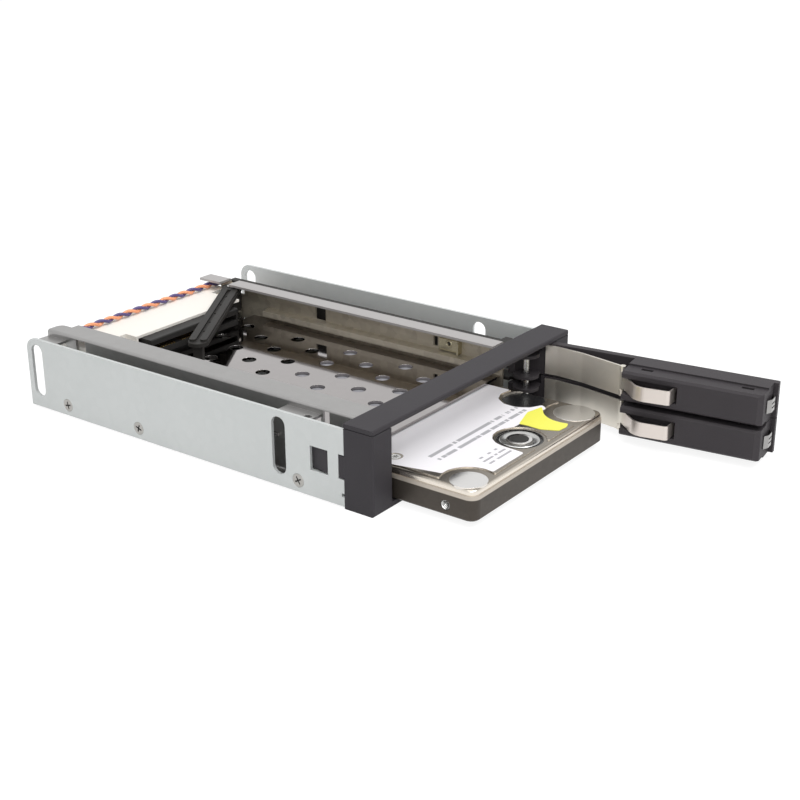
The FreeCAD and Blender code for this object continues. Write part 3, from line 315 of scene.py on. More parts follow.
# the drive lid's round places, measured in from the lid's own corners
lidLow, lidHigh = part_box("drive_lid")
lidMiddle = (lidLow.x + lidHigh.x) / 2
lidMarks = {
    "spindle": {"place": (lidMiddle + 2.5 * mm, lidLow.y + 9.4 * mm), "radius": 6.8 * mm, "clear": 7.9 * mm},
    "leftSeal": {"place": (lidLow.x + 5.4 * mm, lidLow.y + 5.4 * mm), "radius": 5.3 * mm, "clear": 8.2 * mm},
    "rightSeal": {"place": (lidHigh.x - 6.5 * mm, lidLow.y + 6.5 * mm), "radius": 6.3 * mm,
                  "clear": 9.2 * mm},
    "vent": {"place": (lidHigh.x - 5.6 * mm, lidLow.y + 24.7 * mm), "radius": 6.6 * mm, "clear": 7.8 * mm},
}
# lid tones: the champagne colour is painted sheen on the lid's upright sides and edges
lidLook = {"light": (0.34, 0.31, 0.27), "dark": (0.25, 0.225, 0.19), "rim": (0.76, 0.7, 0.62),
           "seal": (0.72, 0.71, 0.7), "pitch": (0.015, 0.015, 0.016), "hub": 3.72 * mm, "wall": 0.2 * mm,
           "cloud": 45, "brush": 700, "run": (3, 60, 60), "soft": 0.08 * mm, "slope": (0.9, 0.5),
           "edge": 0.12 * mm, "wearAndSheen": 0.5, "dull": 0.9, "rough": 0.18, "spread": 0.12, "polish": 0.12,
           "bump": 0.2, "depth": 0.003 * mm}


def lidMetal(name):
    finish = Finish(name)
    cloud = finish.noise(lidLook["cloud"], detail=3)
    brush = finish.noise(lidLook["brush"], lidLook["run"], 2)
    soft = lidLook["soft"]
    spindle, vent = lidMarks["spindle"], lidMarks["vent"]
    colour = finish.blend(cloud, lidLook["dark"], lidLook["light"])
    # painted sheen: the lid's upright sides are painted a brighter champagne than its top
    colour = finish.over(finish.ramp(finish.facing(), *lidLook["slope"]), colour, lidLook["rim"])
    seals = finish.disc(*spindle["place"], lidLook["hub"], soft)
    for key in ("leftSeal", "rightSeal"):
        mark = lidMarks[key]
        seals = seals + finish.disc(*mark["place"], mark["radius"], soft)
    colour = finish.over(seals, colour, lidLook["seal"])
    # painted shade: the spindle well's floor and wall outside the hub are painted near-black, and the vent
    # disc gets the same near-black
    dark = finish.disc(*spindle["place"], spindle["radius"] + lidLook["wall"], soft)
    dark = dark - finish.disc(*spindle["place"], lidLook["hub"], soft)
    dark = dark + finish.disc(*vent["place"], vent["radius"], soft)
    colour = finish.over(dark, colour, lidLook["pitch"])
    rounded, wearAndSheen = finish.edges(lidLook["edge"])
    # painted edge highlight: the lid's edges turn to the same champagne
    colour = finish.over(wearAndSheen * lidLook["wearAndSheen"], colour, lidLook["rim"])
    rough = brush * lidLook["spread"] - seals * lidLook["polish"] + lidLook["rough"]
    return finish.surface(Base_Color=colour, Metallic=1 - dark * lidLook["dull"], Roughness=rough,
                          Normal=finish.bump(brush, lidLook["bump"], lidLook["depth"], rounded))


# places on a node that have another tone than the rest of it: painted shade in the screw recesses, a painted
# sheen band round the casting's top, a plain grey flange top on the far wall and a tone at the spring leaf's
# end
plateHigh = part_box("right_side_plate")[1]
zones = {"flange": 0.85 * mm, "leaf": (-97.5 * mm, -99.5 * mm), "rim": (1.3 * mm, 1.1 * mm),
         "recessShade": 0.22 * mm}


def flangeTop(finish):
    return finish.axis("Z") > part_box("right_cage_wall")[1].z - zones["flange"]


def leafEnd(finish):
    return finish.ramp(finish.axis("Y"), *zones["leaf"])


# painted sheen band along the casting's top, below the lid
def castingRimSheen(finish):
    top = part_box("drive_casting")[1].z
    begins, full = zones["rim"]
    return finish.ramp(finish.axis("Z"), top - begins, top - full)


# painted shade: everything sunk deeper than a little below the plate's face
def screwRecessShade(finish):
    reach = finish.node("Math", {"operation": "ABSOLUTE"}, {0: finish.axis("X")})
    return reach < plateHigh.x - zones["recessShade"]


finishes = {
    "zinc_sheet": sheetMetal("zincSheet"),
    "cage_sheet": sheetMetal("nearWall"),
    "bright_sheet": sheetMetal("brightSheet"),
    "spring_steel": sheetMetal("springSteel", leafEnd),
    "pin_steel": sheetMetal("pinSteel"),
    "screw_steel": sheetMetal("screwSteel", screwRecessShade),
    "bezel_plastic": mouldedPlastic("bezelPlastic"),
    "door_plastic": mouldedPlastic("doorPlastic"),
    "arm_plastic": mouldedPlastic("armPlastic"),
    "connector_black": mouldedPlastic("connectorBlack"),
    "cover_white": mouldedPlastic("coverWhite"),
    "clear_plastic": mouldedPlastic("clearPlastic"),
    "wire_sheath": mouldedPlastic("orangeSheath"),
    "circuit_board": boardMask("circuitBoard"),
    "drive_casting": sheetMetal("driveCasting", castingRimSheen),
    "drive_lid": lidMetal("driveLid"),
}
goldPlate = sheetMetal("goldPlate")
tinPlate = sheetMetal("tinPlate")
clipSteel = sheetMetal("clipSteel")
clipSheet = sheetMetal("clipSheet")
navySheath = mouldedPlastic("navySheath")
capTan = mouldedPlastic("capTan")
ownFinish = {"right_cage_wall": sheetMetal("farWall", flangeTop), "right_side_plate": sheetMetal("farPlateLightened"),
             "detent_clip": clipSheet, "upper_catch_clip": clipSteel, "lower_catch_clip": clipSteel,
             "board_screws": tinPlate}
for row in frame["record"]["subparts"]:
    skin = nodes[row["node"]].data
    skin.materials.clear()
    skin.materials.append(ownFinish.get(row["node"], finishes[row["material_slot"]]))
print("finishes on", len(nodes), "nodes")

# steps that every new piece shares
smoothAngle = math.radians(35)
softenAngle = math.radians(40)
weldGap = 0.001 * mm


def pick(piece):
    bpy.ops.object.select_all(action="DESELECT")
    piece.select_set(True)
    bpy.context.view_layer.objects.active = piece


def settle(piece):
    pick(piece)
    bpy.ops.object.transform_apply(location=True, rotation=True, scale=True)


def join(pieces):
    pick(pieces[0])
    for piece in pieces[1:]:
        piece.select_set(True)
    if len(pieces) > 1:
        bpy.ops.object.join()
    return bpy.context.object


def paint(piece, material):
    piece.data.materials.clear()
    piece.data.materials.append(material)
    return piece


def ready(piece, name, body):
    piece.name = name
    settle(piece)
    bpy.ops.object.shade_smooth_by_angle(angle=smoothAngle)
    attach(piece, body)
    return piece


def applyModifier(piece, kind, **settings):
    step = piece.modifiers.new(kind.lower(), kind)
    for key, value in settings.items():
        setattr(step, key, value)
    pick(piece)
    bpy.ops.object.modifier_apply(modifier=step.name)


def soften(piece, width):
    applyModifier(piece, "BEVEL", width=width, segments=2, limit_method="ANGLE", angle_limit=softenAngle)
    return piece


def takeAway(piece, cutter):
    applyModifier(piece, "BOOLEAN", operation="DIFFERENCE", object=cutter, solver="EXACT")
    bpy.data.objects.remove(cutter)


def addBlock(low, high):
    low, high = Vector(low), Vector(high)
    bpy.ops.object.select_all(action="DESELECT")
    bpy.ops.mesh.primitive_cube_add(size=1, location=(low + high) / 2)
    block = bpy.context.object
    block.scale = high - low
    settle(block)
    return block


# merges doubles and turns faces outwards, from edit mode back to object mode
def weldMesh():
    bpy.ops.mesh.select_all(action="SELECT")
    bpy.ops.mesh.remove_doubles(threshold=weldGap)
    bpy.ops.mesh.normals_make_consistent(inside=False)
    bpy.ops.object.mode_set(mode="OBJECT")


# a turned piece: rings of (radius, height) in mm, drawn up from the first, closed by caps or into a ring
def addTurned(profile, sides=48, ring=False):
    rings = [(wide * mm, high * mm) for wide, high in profile]
    radius, height = rings[0]
    bpy.ops.object.select_all(action="DESELECT")
    bpy.ops.mesh.primitive_circle_add(vertices=sides, radius=radius, fill_type="NOTHING",
                                      location=(0, 0, height))
    piece = bpy.context.object
    settle(piece)
    bpy.ops.object.mode_set(mode="EDIT")
    bpy.ops.mesh.select_mode(type="EDGE")
    bpy.ops.mesh.select_all(action="SELECT")
    for wide, high in rings[1:]:
        bpy.ops.mesh.extrude_region_move(TRANSFORM_OT_translate={"value": (0, 0, high - height)})
        bpy.ops.transform.resize(value=(wide / radius, wide / radius, 1))
        radius, height = wide, high
    if ring:
        bpy.ops.mesh.select_all(action="DESELECT")
        bpy.ops.mesh.select_non_manifold()
        bpy.ops.mesh.bridge_edge_loops()
    else:
        bpy.ops.mesh.select_all(action="SELECT")
        bpy.ops.mesh.fill_holes(sides=0)
    weldMesh()
    return piece


def copyTo(model, place, turn):
    copy = model.copy()
    copy.data = model.data.copy()
    bpy.context.collection.objects.link(copy)
    copy.rotation_mode = "QUATERNION"
    copy.rotation_quaternion = turn
    copy.location = place
    settle(copy)
    return copy


# one copy of a model at each (place, turn), and the model itself goes
def copyAll(model, spots):
    made = [copyTo(model, place, turn) for place, turn in spots]
    bpy.data.objects.remove(model)
    return made


ahead = Quaternion()
toLeft = Quaternion((0, 1, 0), -math.pi / 2)
toRight = Quaternion((0, 1, 0), math.pi / 2)
toRear = Quaternion((1, 0, 0), -math.pi / 2)

# camera, at the photograph's own place and angle
eye = {"place": (-0.32499, -0.28461, 0.1739), "azimuth": -53.1546, "elevation": 21.8246, "roll": -0.3683,
       "lens": 64.55, "sensor": 36.0, "near": 0.01}


def addCamera():
    turn = math.radians(eye["azimuth"])
    tilt = math.radians(eye["elevation"])
    aim = Vector((-math.sin(turn) * math.cos(tilt), math.cos(turn) * math.cos(tilt), -math.sin(tilt)))
    bpy.ops.object.camera_add(location=eye["place"])
    camera = bpy.context.object
    camera.rotation_mode = "QUATERNION"
    roll = Quaternion((0, 0, 1), math.radians(eye["roll"]))
    camera.rotation_quaternion = aim.to_track_quat("-Z", "Y") @ roll
    camera.data.lens = eye["lens"]
    camera.data.sensor_width = eye["sensor"]
    camera.data.clip_start = eye["near"]
    bpy.context.scene.camera = camera


addCamera()
print("camera placed")

# twisted lead of the front lights: the part's route, with a few more points near its corners
lead = {"route": [(45.5, -58.8, 7.2), (45.5, 57.0, 7.2), (45.5, 65.3, 7.2), (37.2, 65.3, 7.2),
                  (37.2, 65.3, 21.55), (22.8, 65.3, 21.55), (-30.0, 65.3, 21.55), (-36.0, 65.3, 21.55),
                  (-36.0, 65.3, 15.5), (-36.0, 60.5, 15.5)],
        "strand": 0.55 * mm, "offset": 0.58 * mm, "lay": 8.6 * mm, "spacing": 0.6 * mm, "steps": 160}


def routePoints():
    curve = bpy.data.curves.new("leadRoute", "CURVE")
    curve.dimensions = "3D"
    line = curve.splines.new("NURBS")
    line.points.add(len(lead["route"]) - 1)
    for point, place in zip(line.points, lead["route"]):
        point.co = (*(Vector(place) * mm), 1)
    line.order_u = 3
    line.use_endpoint_u = True
    line.resolution_u = lead["steps"]
    holder = bpy.data.objects.new("leadRoute", curve)
    bpy.context.collection.objects.link(holder)
    read = bpy.data.meshes.new_from_object(holder)
    points = [read.vertices[0].co.copy()]
    for vertex in read.vertices:
        if (vertex.co - points[-1]).length > lead["spacing"]:
            points.append(vertex.co.copy())
    bpy.data.objects.remove(holder)
    bpy.data.meshes.remove(read)
    return points


def addStrand(points, phase):
    curve = bpy.data.curves.new("strand", "CURVE")
    curve.dimensions = "3D"
    curve.bevel_depth = lead["strand"]
    curve.bevel_resolution = 2
    curve.use_fill_caps = True
    line = curve.splines.new("POLY")
    line.points.add(len(points) - 1)
    course = (points[1] - points[0]).normalized()
    side = course.orthogonal().normalized()
    gone = 0
    for index, place in enumerate(points):
        if index:
            gone += (place - points[index - 1]).length
            turned = (place - points[index - 1]).normalized()
            side = (course.rotation_difference(turned) @ side).normalized()
            course = turned
        around = Quaternion(course, phase + 2 * math.pi * gone / lead["lay"]) @ side
        line.points[index].co = (*(place + around * lead["offset"]), 1)
    strand = bpy.data.objects.new("strand", curve)
    bpy.context.collection.objects.link(strand)
    pick(strand)
    bpy.ops.object.convert(target="MESH")
    return strand


def addLead():
    points = routePoints()
    strands = []
    for phase, material in ((0, finishes["wire_sheath"]), (math.pi, navySheath)):
        strands.append(paint(addStrand(points, phase), material))
    twist = join(strands)
    twist.name = "twistedLead"
    bpy.ops.object.shade_smooth()
    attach(twist, "chassis")
    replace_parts(twist, "wire_harness")


addLead()

# paper label and plain patch on the drive's lid, in mm from its left and front edges, with arcs in degrees
label = {"light": (0.9, 0.88, 0.91), "dark": (0.85, 0.83, 0.86), "thick": 0.05 * mm, "ease": 1.8,
         "left": 1.2, "right": 67.2, "front": 2.7, "rear": 96.3, "tongue": 28.8,
         "slant": [(1.2, 27.5), (4.0, 15.0)], "bare": [(44.6, 14.8), (60.5, 14.8)],
         "sealArc": (98, -19), "spindleArc": (175, 45), "ventArc": (-102, -295),
         "hole": (5.9, 30.41, 2.4), "holeArc": (0, 330), "holePoints": 12}
patch = {"light": (0.85, 0.83, 0.12), "dark": (0.81, 0.78, 0.1), "thick": 0.1 * mm, "ease": 1.2,
         "outline": [(51.6, 2.5), (48.0, 2.9), (45.7, 7.9), (46.0, 12.4), (45.7, 15.0), (54.6, 17.7),
                     (60.6, 16.4)],
         "sealArc": (118, 200)}
markPoints = 7
sink = 0.02 * mm

# printed places: rows of plain grey bars and, towards the rear, one plain grey field, which is painted shade
# on the label where it lies under the shelf
printAndShade = [
    {"pitch": 3.1 * mm, "share": 0.42, "gap": 0.42, "inkAndShade": 0.7, "left": 11 * mm, "right": 56 * mm,
     "front": 18.6 * mm, "rear": 24.8 * mm},
    {"pitch": 2.0 * mm, "share": 0.4, "gap": 0.42, "inkAndShade": 0.7, "left": 17 * mm, "right": 28 * mm,
     "front": 6.0 * mm, "rear": 12.0 * mm},
    # painted shade: the label's rear, seen through the shelf's holes, gets a plain grey field
    {"pitch": 50 * mm, "share": 1.0, "gap": 0.0, "inkAndShade": 0.92, "left": 3 * mm, "right": 65 * mm,
     "front": 50 * mm, "rear": 94 * mm},
]
paperLook = {"fibre": 1800, "cloud": 30, "cloudShare": 0.6, "fibreShare": 0.4, "inkAndShade": (0.2, 0.2, 0.22),
             "words": 520, "rowShift": (7.3, 3.1), "edge": 0.05 * mm, "rough": 0.36, "spread": 0.1,
             "shine": 0.35, "bump": 0.15, "depth": 0.01 * mm}


def paper(name, look, blocks):
    finish = Finish(name)
    fibre = finish.noise(paperLook["fibre"], detail=3)
    cloud = finish.noise(paperLook["cloud"], detail=2)
    tone = cloud * paperLook["cloudShare"] + fibre * paperLook["fibreShare"]
    colour = finish.blend(tone, look["dark"], look["light"])
    shiftY, shiftZ = paperLook["rowShift"]
    for bars in blocks:
        x = finish.axis("X") - lidLow.x
        y = finish.axis("Y") - lidLow.y
        row = (y - bars["front"]) * (1 / bars["pitch"])
        line = finish.node("Math", {"operation": "FLOOR"}, {0: row})
        inputs = {"X": x * paperLook["words"], "Y": line * shiftY, "Z": line * shiftZ}
        place = finish.node("CombineXYZ", {}, inputs)
        word = finish.node("TexNoise", {}, {"Vector": place, "Scale": 1.0, "Detail": 1})
        inkAndShade = (row - line < bars["share"]) * (word > bars["gap"])
        inkAndShade = inkAndShade * (x > bars["left"]) * (x < bars["right"]) * (y > bars["front"]) * (y < bars["rear"])
        colour = finish.over(inkAndShade * bars["inkAndShade"], colour, paperLook["inkAndShade"])
    rounded = finish.edges(paperLook["edge"])[0]
    return finish.surface(Base_Color=colour, Roughness=fibre * paperLook["spread"] + paperLook["rough"],
                          Specular_IOR_Level=paperLook["shine"],
                          Normal=finish.bump(fibre, paperLook["bump"], paperLook["depth"], rounded))


def arc(x, y, radius, start, end, count):
    turns = [math.radians(start + (end - start) * index / (count - 1)) for index in range(count)]
    return [(x + radius * math.cos(turn), y + radius * math.sin(turn)) for turn in turns]


def roundMark(key, start, end):
    mark = lidMarks[key]
    x, y = mark["place"]
    return arc((x - lidLow.x) / mm, (y - lidLow.y) / mm, mark["clear"] / mm, start, end, markPoints)


# points either side of each corner, so that a spline rounds it and keeps the straight runs
def eased(corners, ease):
    corners = [Vector(corner) for corner in corners]
    points = []
    for index, corner in enumerate(corners):
        back = corners[index - 1] - corner
        onward = corners[(index + 1) % len(corners)] - corner
        points.append(corner + back.normalized() * min(ease, back.length / 2))
        points.append(corner)
        points.append(corner + onward.normalized() * min(ease, onward.length / 2))
    return points


def addSheet(name, loops, thick, material):
    curve = bpy.data.curves.new(name, "CURVE")
    curve.dimensions = "2D"
    curve.fill_mode = "BOTH"
    curve.extrude = (thick + sink) / 2
    curve.resolution_u = 6
    for points in loops:
        line = curve.splines.new("NURBS")
        line.points.add(len(points) - 1)
        for point, (x, y) in zip(line.points, points):
            point.co = (x * mm, y * mm, 0, 1)
        line.order_u = 3
        line.use_cyclic_u = True
    sheet = bpy.data.objects.new(name, curve)
    bpy.context.collection.objects.link(sheet)
    sheet.location = (lidLow.x, lidLow.y, lidHigh.z + (thick - sink) / 2)
    pick(sheet)
    bpy.ops.object.convert(target="MESH")
    sheet = bpy.context.object
    bpy.ops.object.mode_set(mode="EDIT")
    weldMesh()
    ready(paint(sheet, material), name, "drive")


def addLabel():
    corners = [(label["left"], label["rear"])] + label["slant"]
    corners += roundMark("leftSeal", *label["sealArc"])
    corners.append((label["tongue"], label["front"]))
    corners += roundMark("spindle", *label["spindleArc"])
    corners += label["bare"]
    corners += roundMark("vent", *label["ventArc"])
    corners.append((label["right"], label["rear"]))
    hole = arc(*label["hole"], *label["holeArc"], label["holePoints"])
    loops = [eased(corners, label["ease"]), hole]
    addSheet("driveLabel", loops, label["thick"], paper("labelPaper", label, printAndShade))


def addPatch():
    corners = patch["outline"] + roundMark("rightSeal", *patch["sealArc"])
    loops = [eased(corners, patch["ease"])]
    addSheet("drivePatch", loops, patch["thick"], paper("patchPaper", patch, []))


addLabel()
addPatch()
print("label and patch on the drive")

# bright ring and black cap in the drive's spindle well, threaded sleeves in its side holes
trim = {"ring": [(5.9, -0.82), (5.9, -0.5), (5.75, -0.38), (5.6, -0.38), (4.1, -0.52), (3.95, -0.6),
                 (3.95, -0.82)],
        "cap": [(2.7, -0.32), (2.7, -0.2), (2.45, -0.1), (1.5, -0.03), (0.02, -0.01)], "sides": 64}
sleeve = {"long": 3.0, "outer": 1.46, "inner": 1.06, "thread": 0.18, "turns": 5, "chamfer": 0.12,
          "entry": 0.1, "sides": 40, "sunk": 0.15 * mm, "depths": (-86.6 * mm, -10.0 * mm), "level": 4.9 * mm}


def addSpindleTrim():
    place = Vector((*lidMarks["spindle"]["place"], lidHigh.z))
    made = []
    for key, slot in (("ring", "pin_steel"), ("cap", "connector_black")):
        model = addTurned(trim[key], trim["sides"], key == "ring")
        made += [paint(piece, finishes[slot]) for piece in copyAll(model, [(place, ahead)])]
    ready(join(made), "spindleTrim", "drive")


def addSleeves():
    outer, inner, long = sleeve["outer"], sleeve["inner"], sleeve["long"]
    step = long / sleeve["turns"]
    profile = [(outer, -long), (outer, -sleeve["chamfer"]), (outer - sleeve["chamfer"], 0)]
    for turn in range(sleeve["turns"]):
        profile.append((inner + sleeve["thread"], -turn * step - sleeve["entry"]))
        profile.append((inner, -turn * step - step / 2))
    profile.append((inner, -long))
    castLow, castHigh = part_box("drive_casting")
    spots = []
    for x, turn in ((castLow.x, toLeft), (castHigh.x, toRight)):
        inwards = turn @ Vector((0, 0, -sleeve["sunk"]))
        for depth in sleeve["depths"]:
            spots.append((Vector((x, depth, sleeve["level"])) + inwards, turn))
    made = copyAll(addTurned(profile, sleeve["sides"], True), spots)
    ready(paint(join(made), finishes["pin_steel"]), "sideSleeves", "drive")


addSpindleTrim()
addSleeves()
print("spindle trim and side sleeves on the drive")

# recessed screws: one head shape, cut by two or three crossing blades
screwCut = {"sides": 48, "above": 1 * mm, "soft": 0.05 * mm,
            "start": 0.03}  # radians off the head's own corners, so that the cut is the same on each run
plateScrew = {"profile": [(1.2, -5.0), (1.2, -1.0), (2.06, -0.14), (1.96, -0.06), (1.2, -0.02),
                          (0.02, -0.02)],
              "blades": 2, "reach": 1.25 * mm, "width": 0.5 * mm, "depth": 0.7 * mm, "level": 4.0 * mm,
              "depths": (-43.3 * mm, 20.4 * mm, 52.3 * mm), "spins": (0.5, 1.2, 0.2)}
lidScrew = {"profile": [(0.9, -3.6), (0.9, -1.0), (1.8, -1.0), (1.8, -0.22), (1.6, -0.04), (0.02, -0.02)],
            "blades": 3, "reach": 1.0 * mm, "width": 0.42 * mm, "depth": 0.6 * mm, "head": 1.8 * mm}


def addScrew(look):
    screw = addTurned(look["profile"], screwCut["sides"])
    reach, half = look["reach"], look["width"] / 2
    for index in range(look["blades"]):
        blade = addBlock((-reach, -half, -look["depth"]), (reach, half, screwCut["above"]))
        blade.rotation_euler.z = screwCut["start"] + math.pi * index / look["blades"]
        settle(blade)
        takeAway(screw, blade)
    return soften(screw, screwCut["soft"])


def addPlateScrews(side, turn, name):
    spots = []
    for depth, spin in zip(plateScrew["depths"], plateScrew["spins"]):
        place = Vector((side * plateHigh.x, depth, plateScrew["level"]))
        spots.append((place, turn @ Quaternion((0, 0, 1), spin)))
    row = paint(join(copyAll(addScrew(plateScrew), spots)), finishes["screw_steel"])
    return ready(row, name, "chassis")


def addLidScrews():
    low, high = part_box("drive_lid_screws")
    left, right = low.x + lidScrew["head"], high.x - lidScrew["head"]
    front, rear = low.y + lidScrew["head"], high.y - lidScrew["head"]
    spots = [(Vector((x, y, high.z)), ahead) for x, y in ((left, front), (left, rear), (right, rear))]
    row = paint(join(copyAll(addScrew(lidScrew), spots)), finishes["pin_steel"])
    ready(row, "lidScrews", "drive")
    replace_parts(row, "drive_lid_screws")


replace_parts(addPlateScrews(1, toRight, "rightPlateScrews"), "side_plate_screws")
addPlateScrews(-1, toLeft, "leftPlateScrews")
addLidScrews()
print("recessed screws in the side plates and the drive's lid")

# eyelet that holds the detent clip to the cage wall, with a black disc in its bore as painted shade
eyelet = {"ring": [(1.15, -0.02), (1.15, 0.62), (1.0, 0.76), (0.78, 0.76), (0.66, 0.62), (0.66, -0.02)],
          "boreShade": [(0.7, -0.02), (0.7, 0.2), (0.5, 0.26), (0.02, 0.28)], "sides": 32, "sheet": 0.6 * mm}


def addEyelet():
    low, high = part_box("detent_clip")
    place = Vector((high.x, (low.y + eyelet["sheet"] + high.y) / 2, high.z - (high.z - low.z) / 3))
    made = []
    # painted shade: the black disc fills the eyelet's bore
    for key, material in (("ring", clipSheet), ("boreShade", finishes["connector_black"])):
        model = addTurned(eyelet[key], eyelet["sides"], key == "ring")
        made += [paint(piece, material) for piece in copyAll(model, [(place, toLeft)])]
    ready(join(made), "clipEyelet", "chassis")


addEyelet()
print("eyelet in the detent clip")

# contacts in the drive sockets and data ports, pins in the power inlet
contact = {"pitch": 1.27 * mm, "wide": 0.62 * mm, "thick": 0.16 * mm, "soft": 0.05 * mm, "sunk": 0.02 * mm}
driveSocket = {"data": 7, "power": 15, "first": 3.6 * mm, "keyGap": 2.4 * mm, "drop": 1.0 * mm,
               "start": 0.7 * mm, "end": 4.4 * mm}
dataPort = {"count": 7, "start": 6.4 * mm, "end": 1.3 * mm}
inlet = {"pin": [(1.05, -0.1), (1.05, 4.6), (0.8, 5.1), (0.3, 5.3), (0.02, 5.3)], "count": 4, "sides": 32,
         "setback": 6.6 * mm}


def addContacts(places, low, high, name):
    half = contact["wide"] / 2
    model = soften(addBlock((-half, low.y, low.z), (half, high.y, high.z)), contact["soft"])
    made = copyAll(model, [(Vector((x, 0, 0)), ahead) for x in places])
    ready(paint(join(made), goldPlate), name, "chassis")


def socketContacts(node, name):
    low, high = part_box(node)
    first = low.x + driveSocket["first"]
    places = [first + contact["pitch"] * index for index in range(driveSocket["data"])]
    second = places[-1] + contact["pitch"] + driveSocket["keyGap"]
    places += [second + contact["pitch"] * index for index in range(driveSocket["power"])]
    floor = (low.z + high.z) / 2 - driveSocket["drop"]
    start = Vector((0, low.y + driveSocket["start"], floor - contact["sunk"]))
    end = Vector((0, low.y + driveSocket["end"], floor + contact["thick"]))
    addContacts(places, start, end, name)


def portContacts(node, name):
    low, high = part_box(node)
    first = (low.x + high.x) / 2 - contact["pitch"] * (dataPort["count"] - 1) / 2
    places = [first + contact["pitch"] * index for index in range(dataPort["count"])]
    tongue = (low.z + high.z) / 2
    start = Vector((0, high.y - dataPort["start"], tongue - contact["thick"]))
    end = Vector((0, high.y - dataPort["end"], tongue + contact["sunk"]))
    addContacts(places, start, end, name)


def inletPins(name):
    low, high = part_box("power_inlet")
    pitch = (high.x - low.x) / inlet["count"]
    spots = []
    for index in range(inlet["count"]):
        place = Vector((low.x + pitch * (index + 0.5), high.y - inlet["setback"], (low.z + high.z) / 2))
        spots.append((place, toRear))
    made = copyAll(addTurned(inlet["pin"], inlet["sides"]), spots)
    ready(paint(join(made), tinPlate), name, "chassis")


for place in ("upper", "lower"):
    socketContacts(place + "_drive_socket", place + "Contacts")
for place in ("left", "right"):
    portContacts(place + "_data_port", place + "PortContacts")
inletPins("inletPins")
print("contacts in the sockets and ports")

# small parts on the rear of the backplane, in mm: along the board, out from its face, up
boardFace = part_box("backplane_board")[1].y
chips = {"spots": ((-25.0, 5.0, 5.0, 3.9, 4), (17.6, 15.6, 6.6, 4.4, 5)),  # x, z, width, height, leads a side
         "body": (0.15, 1.5), "soft": 0.14 * mm, "lead": 0.4, "leadSoft": 0.03 * mm, "tuck": 0.1,
         "knee": 0.45, "reach": 1.0, "shoulder": (0.65, 0.85), "foot": (-0.02, 0.2), "riser": (0.02, 0.85),
         "riserHalf": 0.1}
cans = {"spots": ((9.4, 5.0), (15.6, 5.0)), "foot": 2.7, "base": (-0.02, 0.8), "soft": 0.3 * mm,
        "profile": [(2.5, 0.6), (2.5, 1.2), (2.38, 1.4), (2.5, 1.6), (2.5, 5.0), (2.25, 5.4), (2.0, 5.4),
                    (1.9, 5.3), (0.02, 5.3)]}
beads = {"spots": ((-20.4, 3.2), (-20.4, 5.0), (-20.4, 6.8), (-30.2, 6.6), (-30.2, 3.4), (-28.0, 14.0),
                   (-28.0, 16.0), (-25.4, 14.0), (-25.4, 16.0), (12.4, 13.6), (12.4, 15.4), (12.4, 17.2),
                   (23.0, 13.8), (23.0, 17.0)),
         "body": (0.45, 0.405), "bodyOut": (-0.02, 0.77), "bodySoft": 0.03 * mm,
         "end": (0.45, 0.8), "endHalf": 0.425, "endOut": (-0.02, 0.8), "endSoft": 0.06 * mm}


def onBoard(x, out, z):
    return Vector((x * mm, boardFace + out * mm, z * mm))


def boardBlock(xs, outs, zs):
    return addBlock(onBoard(min(xs), min(outs), min(zs)), onBoard(max(xs), max(outs), max(zs)))


def addChip(x, z, wide, high, leads):
    left, top = x - wide / 2, high / 2
    body = boardBlock((left, left + wide), chips["body"], (z - top, z + top))
    made = [paint(soften(body, chips["soft"]), finishes["connector_black"])]
    half = chips["lead"] / 2
    for index in range(leads):
        middle = left + wide / leads * (index + 0.5)
        span = (middle - half, middle + half)
        for side in (-1, 1):
            edge = z + side * (top - chips["tuck"])
            knee = z + side * (top + chips["knee"])
            tip = z + side * (top + chips["reach"])
            shoulder = boardBlock(span, chips["shoulder"], (edge, knee))
            riser = boardBlock(span, chips["riser"], (knee - chips["riserHalf"], knee + chips["riserHalf"]))
            foot = boardBlock(span, chips["foot"], (knee, tip))
            made += [paint(soften(part, chips["leadSoft"]), tinPlate) for part in (shoulder, riser, foot)]
    return made


def addCan(x, z):
    foot = cans["foot"]
    base = boardBlock((x - foot, x + foot), cans["base"], (z - foot, z + foot))
    made = [paint(soften(base, cans["soft"]), finishes["connector_black"])]
    for can in copyAll(addTurned(cans["profile"]), [(onBoard(x, 0, z), toRear)]):
        made.append(paint(can, tinPlate))
    return made


def addBead(x, z):
    long, wide = beads["body"]
    body = boardBlock((x - long, x + long), beads["bodyOut"], (z - wide, z + wide))
    made = [paint(soften(body, beads["bodySoft"]), capTan)]
    near, far = beads["end"]
    half = beads["endHalf"]
    for side in (-1, 1):
        end = boardBlock((x + side * near, x + side * far), beads["endOut"], (z - half, z + half))
        made.append(paint(soften(end, beads["endSoft"]), tinPlate))
    return made


parts = []
for addPart, look in ((addChip, chips), (addCan, cans), (addBead, beads)):
    for spot in look["spots"]:
        parts += addPart(*spot)
ready(join(parts), "boardParts", "chassis")
print("small parts on the backplane:", len(chips["spots"]) + len(cans["spots"]) + len(beads["spots"]))

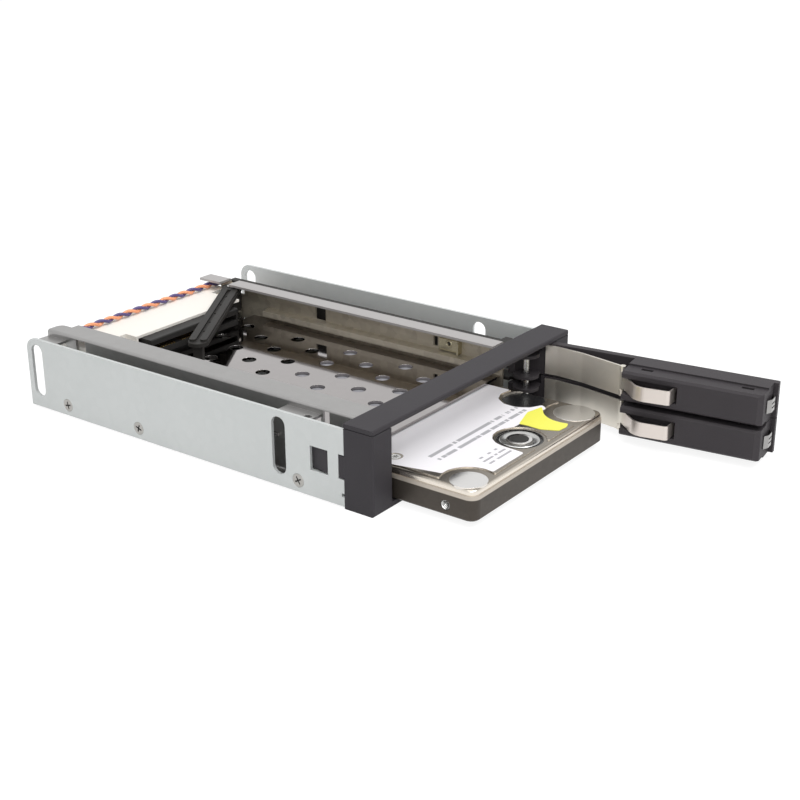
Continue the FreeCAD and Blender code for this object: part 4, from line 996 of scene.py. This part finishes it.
# white floor and world, soft lamps
studio = {"floor": 6.0, "floorColour": (0.95, 0.95, 0.95), "floorRough": 0.9, "whiten": 0.75, "glow": 1.16,
          "ambient": 0.5}
lamps = [
    {"name": "topSoft", "place": (-0.2, -0.1, 1.2), "aim": (0, 0, 0), "size": 1.4, "watts": 8},
    {"name": "frontSoft", "place": (-0.9, -0.8, 0.7), "aim": (0, -0.02, 0.02), "size": 0.9, "watts": 4},
    {"name": "drawerSoft", "place": (0.1, -0.75, 1.15), "aim": (0, -0.08, 0.01), "size": 0.7, "watts": 6},
]


def addStage():
    bpy.ops.object.select_all(action="DESELECT")
    bpy.ops.mesh.primitive_plane_add(size=studio["floor"], location=(0, 0, cadLow.z))
    floor = bpy.context.object
    floor.name = "floor"
    finish = Finish("floorWhite")
    finish.surface(Base_Color=(*studio["floorColour"], 1), Roughness=studio["floorRough"],
                   Specular_IOR_Level=0.0)
    white = finish.node("Emission", {}, {"Color": (1, 1, 1, 1), "Strength": studio["glow"]})
    lit = Link(finish, finish.shader.outputs[0])
    share = finish.backdropRays() * studio["whiten"]
    mixed = finish.node("MixShader", {}, {0: share, 1: lit, 2: white})
    finish.feed(finish.tree.nodes["Material Output"].inputs["Surface"], mixed)
    floor.data.materials.append(finish.owner)


def addWorld():
    sky = Finish("studioWhite", "worlds", "Background")
    level = sky.node("MapRange", {}, {"Value": sky.backdropRays(), "To Min": studio["ambient"]})
    bpy.context.scene.world = sky.surface(Color=(1, 1, 1, 1), Strength=level)


def addLamps():
    for lamp in lamps:
        bpy.ops.object.light_add(type="AREA", location=lamp["place"])
        light = bpy.context.object
        light.name = lamp["name"]
        light.data.shape = "DISK"
        light.data.size = lamp["size"]
        light.data.energy = lamp["watts"]
        light.rotation_mode = "QUATERNION"
        light.rotation_quaternion = (Vector(lamp["aim"]) - Vector(lamp["place"])).to_track_quat("-Z", "Y")


addStage()
addWorld()
addLamps()
bpy.context.scene.view_settings.view_transform = "Standard"
print("floor and", len(lamps), "lamps placed")
